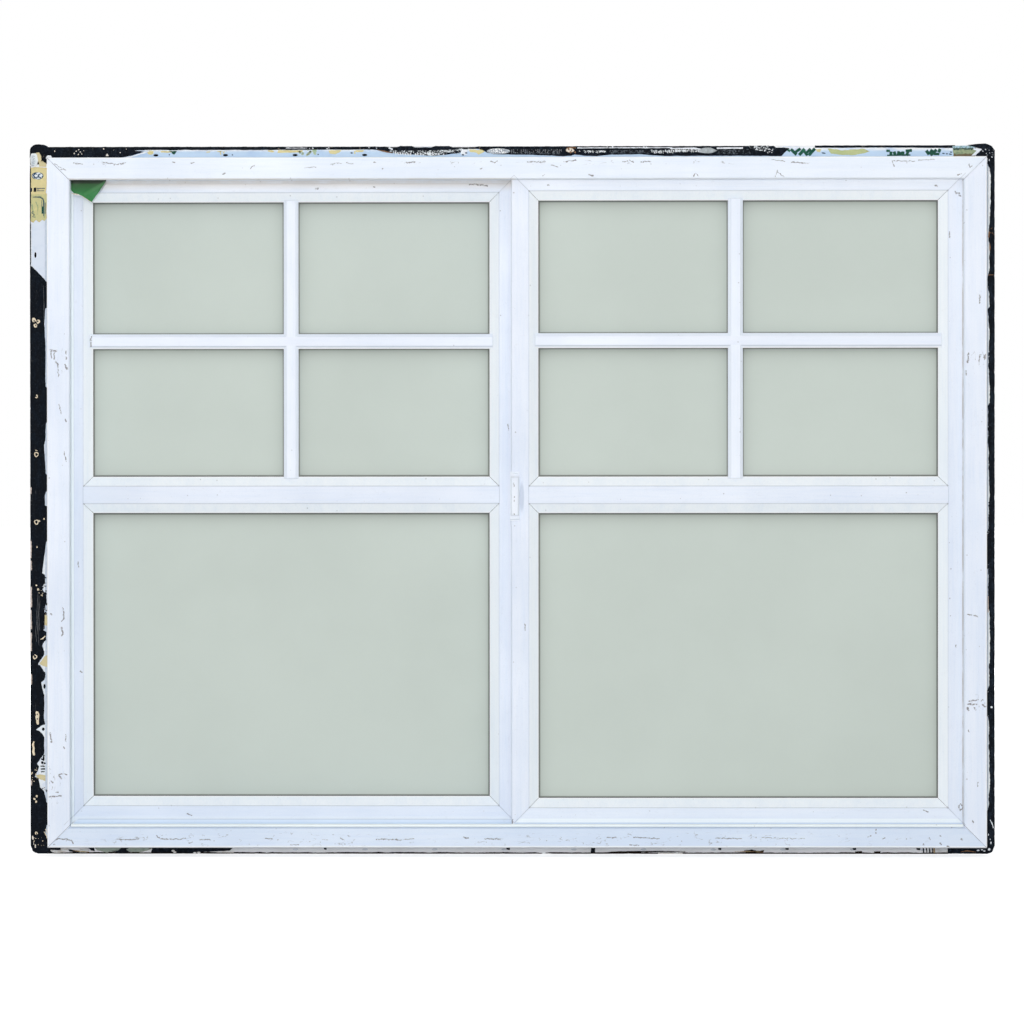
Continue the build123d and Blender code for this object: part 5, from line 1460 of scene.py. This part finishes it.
def lay_leaf():
    """A scrap of green film with a paler line across it, tucked behind the head's lip over the sash's corner."""
    film = Layer()
    film.add("sash", [(-647, 977), (-595, 977), (-597, 972), (-617, 943.5), (-631, 952.5), (-636.5, 955),
                      (-643, 956.6), (-647, 961)], 0.1, 0.25, 0.9, 0.25, 1.5, 3.0, FILM_FACE)
    material, g, shader, place = new_material("green_film")
    cloud = g.noise(place, 55.0, 4.0, 0.6)
    where = g.split(place)
    # Darker towards the film's top, with a painted shadow in a band just under the head's lip.
    body = g.mix(g.fade(where["Z"], 0.971, 0.952), screen(26, 80, 32), screen(54, 130, 72))
    body = g.mix(g.fade(cloud, 0.4, 0.7, 0.0, 0.4), body, LEAF_GREEN)
    body = g.mix(g.fade(where["Z"], 0.9685, 0.972), body, screen(14, 34, 14))
    fold = g.group(STROKE, Place=place, Start=(-0.626, FILM_FACE, 0.955), End=(-0.598, FILM_FACE, 0.971),
                   Width=4.0 * MM)["Mask"]
    body = g.mix(g.math("MULTIPLY", fold, 0.35), body, screen(84, 150, 92))
    g.put(shader.inputs["Base Color"], body)
    g.put(shader.inputs["Roughness"], g.fade(cloud, 0.3, 0.7, 0.5, 0.7))
    g.put(shader.inputs["Normal"], g.bump(cloud, 0.3, 0.8 * MM))
    shader.inputs["Specular IOR Level"].default_value = 0.3
    film.finished("green_film", material, "sash_vinyl")
    torn = Layer()
    torn.add("sash", ribbon([(-646, 956.2), (-638, 954.4), (-633, 953.6), (-625, 949), (-616, 943)], 1.6),
             0.05, 0.2, 0.2, 0.4, 1.0, 2.0, FILM_FACE)
    torn.finished("film_torn_rim", scrap("film_torn_rim", TORN_BEIGE, PAPER_WHITE, screen(214, 186, 150)),
                  "sash_vinyl")


def fill_bead_seams():
    """Pale strips that fill the gaps round the glazing beads to just under their faces, in place of the gaps' shade;
    the level ones are darker than the upright ones.
    """
    for name, colour in (("level_seams", screen(206, 211, 220)), ("upright_seams", screen(228, 234, 244))):
        points, faces = [], []
        for sash in ("left", "right"):
            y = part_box(sash + "_sash_top_rail")[0].y + 0.72 * MM
            for part in ("upper", "lower"):
                low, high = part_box(sash + "_sash_" + part + "_beads")
                for across in (low.x, high.x) if name == "upright_seams" else (low.z, high.z):
                    side = -1 if across in (low.x, low.z) else 1
                    a, b = sorted((across + side * 1.1 * MM, across - side * 0.2 * MM))
                    if name == "upright_seams":
                        corners = [(a, low.z), (b, low.z), (b, high.z), (a, high.z)]
                    else:
                        corners = [(low.x, a), (high.x, a), (high.x, b), (low.x, b)]
                    first = len(points)
                    points += [(x, y, z) for x, z in corners] + [(x, y + 1.2 * MM, z) for x, z in corners]
                    faces += [[first + i for i in face] for face in BLOCK_FACES]
        mesh = bpy.data.meshes.new(name)
        mesh.from_pydata(points, [], faces)
        placed(name, mesh, plain(name, colour, 0.6, 300.0, 0.06, 0.3), "sash_vinyl")


def raise_sill_lip():
    """The bevelled top of the sill's lip, in front of the sashes."""
    low, high = FRAME_BOTTOM + 30.7 * MM, FRAME_BOTTOM + 34.7 * MM
    section = [(FRAME_FACE, low), (FRAME_FACE, high - 1.4 * MM), (FRAME_FACE + 1.8 * MM, high),
               (FRAME_FACE + 3.4 * MM, high), (FRAME_FACE + 3.4 * MM, low)]
    half = 645.8 * MM
    points = [(x, y, z) for x in (-half, half) for y, z in section]
    faces = [(4, 3, 2, 1, 0), (5, 6, 7, 8, 9)] + [(i, (i + 1) % 5, 5 + (i + 1) % 5, 5 + i) for i in range(5)]
    mesh = bpy.data.meshes.new("sill_lip")
    mesh.from_pydata(points, [], faces)
    # Painted highlight: the lip's top is a lighter white than the sill, as if lit from above.
    painted_lip_highlight = screen(247, 254, 255)
    placed("sill_lip", mesh, vinyl("sill_lip_vinyl", painted_lip_highlight, LEVEL_GRAIN, 0.6, extra=sill_light_and_shade), "frame_vinyl")


# Corners 0 to 3 go round a block's front face, and 4 to 7 round its back face
BLOCK_FACES = [(0, 1, 2, 3), (7, 6, 5, 4), (4, 5, 1, 0), (5, 6, 2, 1), (6, 7, 3, 2), (7, 4, 0, 3)]


def geometry_tree(name, inputs):
    """An empty Geometry Nodes tree with named inputs, its graph and the sockets inside it."""
    tree = bpy.data.node_groups.new(name, "GeometryNodeTree")
    for label, kind, value in inputs:
        socket = tree.interface.new_socket(label, in_out="INPUT", socket_type="NodeSocket" + kind)
        if value is not None:
            socket.default_value = value
    tree.interface.new_socket("Geometry", in_out="OUTPUT", socket_type="NodeSocketGeometry")
    graph = Graph(tree)
    return tree, graph, graph.add("NodeGroupInput").outputs, graph.add("NodeGroupOutput").inputs


def grown(name, tree, slot, **values):
    """The mesh that a Geometry Nodes tree makes, as a plain piece that rides on the window."""
    holder = bpy.data.objects.new(name + "_maker", bpy.data.meshes.new(name + "_maker"))
    bpy.context.scene.collection.objects.link(holder)
    maker = holder.modifiers.new("maker", "NODES")
    maker.node_group = tree
    sockets = {item.name: item.identifier for item in tree.interface.items_tree if item.in_out == "INPUT"}
    for label, value in values.items():
        maker[sockets[label.replace("_", " ")]] = value
    graph = bpy.context.evaluated_depsgraph_get()
    mesh = bpy.data.meshes.new_from_object(holder.evaluated_get(graph))
    bpy.data.objects.remove(holder)
    mesh.name = name
    return placed(name, mesh, None, slot)


def make_slot_row():
    """A row of short plugs with round ends, of the given length, width and depth."""
    tree, g, given, result = geometry_tree("slot_row", [
        ("Count", "Int", 13), ("First", "Vector", None), ("Pitch", "Vector", None),
        ("Length", "Float", 8.0 * MM), ("Width", "Float", 3.4 * MM), ("Depth", "Float", 1.2 * MM),
        ("Upright", "Bool", False), ("Finish", "Material", None),
    ])
    row = g.add("GeometryNodeMeshLine", mode="OFFSET")
    g.put(row.inputs["Count"], given["Count"])
    g.put(row.inputs["Start Location"], given["First"])
    g.put(row.inputs["Offset"], given["Pitch"])
    plug = g.add("GeometryNodeMeshCylinder", fill_type="NGON")
    g.put(plug.inputs["Vertices"], 16)
    g.put(plug.inputs["Radius"], 0.5)
    g.put(plug.inputs["Depth"], 1.0)
    lying = g.add("GeometryNodeTransform")
    g.put(lying.inputs["Geometry"], plug.outputs["Mesh"])
    g.put(lying.inputs["Rotation"], (math.pi / 2, 0.0, 0.0))
    level = g.join(given["Length"], given["Depth"], given["Width"])
    upright = g.join(given["Width"], given["Depth"], given["Length"])
    size = g.add("ShaderNodeMix", data_type="VECTOR")
    g.put(size.inputs["Factor"], given["Upright"])
    vectors = [s for s in size.inputs if s.type == "VECTOR" and s.name in ("A", "B")]
    g.put(vectors[0], level)
    g.put(vectors[1], upright)
    places = g.add("GeometryNodeInstanceOnPoints")
    g.put(places.inputs["Points"], row.outputs["Mesh"])
    g.put(places.inputs["Instance"], lying.outputs["Geometry"])
    g.put(places.inputs["Scale"], [s for s in size.outputs if s.type == "VECTOR"][0])
    real = g.add("GeometryNodeRealizeInstances")
    g.put(real.inputs["Geometry"], places.outputs["Instances"])
    finish = g.add("GeometryNodeSetMaterial")
    g.put(finish.inputs["Geometry"], real.outputs["Geometry"])
    g.put(finish.inputs["Material"], given["Finish"])
    g.put(result["Geometry"], finish.outputs["Geometry"])
    return tree


def fill_slots():
    """Grey dirt in the bottom fin's nail slots, and dark plugs of painted shade for the slots under the wrap above."""
    tree = make_slot_row()
    grey = plain("slot_dirt", screen(232, 234, 240), 0.7, 200.0, 0.1, 0.2)
    dark = plain("slot_shade", screen(16, 16, 20), 0.8, 200.0, 0.3, 0.1)
    pitch = (101.6 * MM, 0.0, 0.0)
    low = (FRAME_LEFT + 52.8 * MM, 0.56 * MM, FIN_BOTTOM + 6.5 * MM)
    grown("bottom_slot_dirt", tree, "membrane", First=low, Pitch=pitch, Count=13, Finish=grey,
          Length=8.4 * MM, Width=3.8 * MM, Depth=1.2 * MM)
    # Painted shade: dark plugs on the wrap stand for the shadow in the nail slots under it.
    x, z = on_fin("top", 184.2, 12.4)
    grown("top_slot_shadows", tree, "membrane", First=(x, -0.7 * MM, z), Pitch=pitch, Count=4, Finish=dark,
          Length=7.2 * MM, Width=3.3 * MM, Depth=0.5 * MM)
    x, z = on_fin("left", 157.6, 8.0)
    grown("left_slot_shadow", tree, "membrane", First=(x, -0.7 * MM, z), Pitch=pitch, Count=1, Finish=dark,
          Length=8.4 * MM, Width=3.0 * MM, Depth=0.5 * MM, Upright=True)


def woven_mesh(name, gap, thread):
    """Torn weave: a speckle of pale threads with dark gaps between them."""
    material, g, shader, place = new_material(name)
    where = g.split(place)
    cell = g.add("ShaderNodeTexVoronoi", voronoi_dimensions="2D")
    g.put(cell.inputs["Vector"], g.join(where["X"], where["Z"]))
    g.put(cell.inputs["Scale"], 760.0)
    tone = g.split(cell.outputs["Color"])["X"]
    cloud = g.noise(place, 130.0, 3.0, 0.6)
    tone = g.math("ADD", tone, g.fade(cloud, 0.35, 0.65, -0.35, 0.2))
    g.put(shader.inputs["Base Color"], g.mix(g.fade(tone, 0.42, 0.85), gap, thread))
    g.put(shader.inputs["Roughness"], g.fade(cloud, 0.3, 0.7, 0.6, 0.8))
    g.put(shader.inputs["Normal"], g.bump(tone, 0.3, 0.5 * MM))
    shader.inputs["Specular IOR Level"].default_value = 0.1
    return material


def lay_mesh():
    """Patches of woven mesh where the membrane's top strip has worn through: bright ones and faint ones."""
    bright = Layer()
    for outline in (
        [(524, 6.4), (545, 6.4), (575, 6.2), (612, 5.6), (624, 4.0), (641, 1.6), (640, 4.2), (622, 7.5), (604, 9.5),
         (596, 12.4), (588, 13.8), (578, 12.4), (565, 11.4), (545, 10.8), (530, 9.2)],
        [(806, 6.4), (838, 6.6), (842, 8.4), (836, 9.0), (808, 8.6)],
        [(906, 5.8), (935, 5.6), (957, 5.4), (958, 8.5), (936, 9.2), (908, 8.2)],
        [(1048, -0.2), (1078, -0.4), (1076, 4), (1068, 7.6), (1058, 6.5), (1050, 3)],
    ):
        bright.add("top", outline, 1.6, 0.2, 0.1, 0.5, 1.2, 2.5)
    bright.finished("bright_mesh", woven_mesh("bright_mesh", screen(34, 38, 44), screen(236, 243, 247)), "membrane")
    lens = Layer()
    lens.add("top", oval(684, 7.2, 17.0, 3.9, 0, 22), 1.8, 0.2, 0.1, 0.4, 1.2, 2.0)
    lens.finished("white_mesh", woven_mesh("white_mesh", screen(176, 184, 194), screen(252, 254, 255)), "membrane")
    faint = Layer()
    for outline in (
        [(697, 5), (776, 5), (774, 12), (700, 11.4)], [(1002, 5), (1048, 4.6), (1052, 12), (1004, 12)],
        [(846, 6), (904, 6), (904, 11.4), (846, 11)],
    ):
        faint.add("top", outline, 1.6, 0.1, 0.0, 0.5, 1.2, 3.0)
    faint.finished("faint_mesh", woven_mesh("faint_mesh", screen(12, 16, 22), screen(88, 95, 102)), "membrane")


def make_thread_patch():
    """A field of short leaning threads that sags in its middle, with gaps and uneven places."""
    tree, g, given, result = geometry_tree("thread_patch", [
        ("Place", "Vector", None), ("Length", "Float", 0.03), ("Height", "Float", 0.006),
        ("Columns", "Int", 12), ("Rows", "Int", 4), ("Sag", "Float", 0.0), ("Gaps", "Float", 0.2),
        ("Thread", "Vector", None), ("Lean", "Float", 0.6), ("Seed", "Int", 1), ("Finish", "Material", None),
    ])
    field = g.add("GeometryNodeMeshGrid")
    g.put(field.inputs["Size X"], given["Length"])
    g.put(field.inputs["Size Y"], given["Height"])
    g.put(field.inputs["Vertices X"], given["Columns"])
    g.put(field.inputs["Vertices Y"], given["Rows"])
    point = g.split(g.add("GeometryNodeInputPosition").outputs["Position"])
    share = g.math("DIVIDE", point["X"], given["Length"])
    dip = g.math("MULTIPLY", g.math("COSINE", g.math("MULTIPLY", share, math.pi)), given["Sag"])
    uneven = g.add("FunctionNodeRandomValue", data_type="FLOAT_VECTOR")
    spread = [socket for socket in uneven.inputs if socket.type == "VECTOR"]
    g.put(spread[0], (-0.5 * MM, -0.1 * MM, -0.4 * MM))
    g.put(spread[1], (0.5 * MM, 0.1 * MM, 0.4 * MM))
    g.put(uneven.inputs["Seed"], given["Seed"])
    shift = [socket for socket in uneven.outputs if socket.type == "VECTOR"][0]
    laid = g.join(point["X"], 0.0, g.math("SUBTRACT", point["Y"], dip))
    moved = g.add("GeometryNodeSetPosition")
    g.put(moved.inputs["Geometry"], field.outputs["Mesh"])
    g.put(moved.inputs["Position"], g.vector("ADD", g.vector("ADD", laid, shift), given["Place"]))
    chance = g.add("FunctionNodeRandomValue", data_type="FLOAT")
    g.put(chance.inputs["Seed"], g.math("ADD", given["Seed"], 7.0))
    kept = [socket for socket in chance.outputs if socket.type == "VALUE"][0]
    dash = g.add("GeometryNodeMeshCube")
    g.put(dash.inputs["Size"], given["Thread"])
    threads = g.add("GeometryNodeInstanceOnPoints")
    g.put(threads.inputs["Points"], moved.outputs["Geometry"])
    g.put(threads.inputs["Selection"], g.math("GREATER_THAN", kept, given["Gaps"]))
    g.put(threads.inputs["Instance"], dash.outputs["Mesh"])
    g.put(threads.inputs["Rotation"], g.join(0.0, given["Lean"], 0.0))
    real = g.add("GeometryNodeRealizeInstances")
    g.put(real.inputs["Geometry"], threads.outputs["Instances"])
    finish = g.add("GeometryNodeSetMaterial")
    g.put(finish.inputs["Geometry"], real.outputs["Geometry"])
    g.put(finish.inputs["Material"], given["Finish"])
    g.put(result["Geometry"], finish.outputs["Geometry"])
    return tree


def weave_threads():
    """Woven threads that show through the torn membrane along the top, and the gaps of the white mesh."""
    tree = make_thread_patch()
    finishes = {
        "white": plain("white_thread", screen(242, 245, 248), 0.7, 300.0, 0.1, 0.3),
        "grey": plain("grey_thread", screen(150, 152, 156), 0.7, 300.0, 0.3, 0.3),
        "dark": plain("mesh_gaps", screen(60, 64, 72), 0.7, 300.0, 0.3, 0.1),
    }
    # Finish; where a patch starts and ends along the top and inwards; columns, rows, sag, gaps; thread size
    patches = [
        ("white", 534, 592, 9.4, 11.0, 17, 2, 1.4, 0.2, 2.6, 1.1), ("grey", 586, 626, 6.5, 10.5, 14, 3, 0.4, 0.3, 1.8, 0.8),
        ("white", 590, 604, 10.5, 12.0, 5, 2, 0.2, 0.2, 2.2, 1.0), ("dark", 670, 698, 5.2, 9.6, 11, 4, 0.0, 0.25, 1.0, 0.6),
        ("grey", 703, 776, 5.5, 9.5, 26, 3, 0.2, 0.45, 1.5, 0.7), ("white", 802, 838, 7.6, 9.2, 12, 2, 0.0, 0.55, 1.8, 0.8),
        ("white", 908, 937, 7.6, 10.0, 10, 3, 0.0, 0.4, 1.7, 0.8), ("white", 936, 976, 4.8, 8.2, 15, 3, 0.0, 0.12, 2.4, 0.9),
        ("white", 1073, 1082, 5.0, 10.0, 4, 4, 0.0, 0.4, 1.6, 0.8),
    ]
    for number, patch in enumerate(patches):
        finish, start, end, near, far, columns, rows, sag, gaps, length, width = patch
        x, z = on_fin("top", (start + end) / 2, (near + far) / 2)
        grown(f"mesh_threads_{number}", tree, "membrane", Place=(x, -2.3 * MM, z), Length=(end - start) * MM,
              Height=(far - near) * MM, Columns=columns, Rows=rows, Sag=sag * MM, Gaps=gaps, Lean=0.8,
              Thread=(length * MM, 0.3 * MM, width * MM), Seed=number + 3, Finish=finishes[finish])


def draw_window():
    lay_wrap()
    lay_membranes()
    lay_left_scraps()
    lay_print()
    lay_top_scraps()
    lay_bottom_scraps()
    lay_nail_scars()
    lay_nails()
    lay_mesh()
    lay_leaf()


def seen_directly(g):
    """1 for the rays that show the background: from the camera, in a reflection or through glass."""
    path = g.add("ShaderNodeLightPath")
    seen = g.math("ADD", path.outputs["Is Camera Ray"], path.outputs["Is Glossy Ray"])
    return g.math("ADD", seen, path.outputs["Is Transmission Ray"], clamp=True)


def lay_floor():
    """A pale floor that keeps the window's soft shadow and is plain white further off."""
    bpy.ops.mesh.primitive_plane_add(size=60.0, location=(0, 0, cad_low.z - 0.001))
    floor = bpy.context.object
    floor.name = "floor"
    material, g, shader, place = new_material("floor_paint")
    shader.inputs["Base Color"].default_value = (0.86, 0.86, 0.86, 1)
    shader.inputs["Roughness"].default_value = 0.9
    shader.inputs["Specular IOR Level"].default_value = 0.0
    shader.inputs["Emission Color"].default_value = (1, 1, 1, 1)
    glow = g.fade(g.vector("LENGTH", place), 0.8, 3.0, 0.64, 1.0)
    g.put(shader.inputs["Emission Strength"], g.math("MULTIPLY", seen_directly(g), glow))
    floor.data.materials.append(material)


def light_studio():
    world = bpy.data.worlds.new("studio")
    world.use_nodes = True
    bpy.context.scene.world = world
    g = Graph(world.node_tree)
    sky = world.node_tree.nodes["Background"]
    sky.inputs["Color"].default_value = (1, 1, 1, 1)
    g.put(sky.inputs["Strength"], g.fade(seen_directly(g), 0.0, 1.0, SKY_LEVEL, BACKGROUND_LEVEL))
    for name, lamp in LAMPS.items():
        add_lamp(name, *lamp)


def add_lamp(name, level, place, width, height):
    """A lamp that lights a white card at the window to the given level."""
    target = (cad_low + cad_high) / 2
    way = target - Vector(place)
    lamp = bpy.data.lights.new(name, "AREA")
    lamp.shape = "RECTANGLE"
    lamp.size = width
    lamp.size_y = height
    lamp.energy = level * (math.pi * way.length) ** 2
    holder = bpy.data.objects.new(name, lamp)
    bpy.context.scene.collection.objects.link(holder)
    holder.location = place
    holder.rotation_euler = way.to_track_quat("-Z", "Y").to_euler()


def set_camera():
    data = bpy.data.cameras.new("camera")
    data.lens = LENS_MM
    data.sensor_width = SENSOR_MM
    data.shift_x = SHIFT_X
    data.shift_y = SHIFT_Y
    camera = bpy.data.objects.new("camera", data)
    camera.location = CAMERA_PLACE
    camera.rotation_euler = [math.radians(turn) for turn in (90 - CAMERA_TIP, CAMERA_ROLL, CAMERA_TURN)]
    bpy.context.scene.collection.objects.link(camera)
    bpy.context.scene.camera = camera


dress_window()
draw_window()
fill_slots()
weave_threads()
fill_bead_seams()
raise_sill_lip()
lay_floor()
light_studio()
set_camera()
bpy.context.scene.view_settings.view_transform = "Standard"
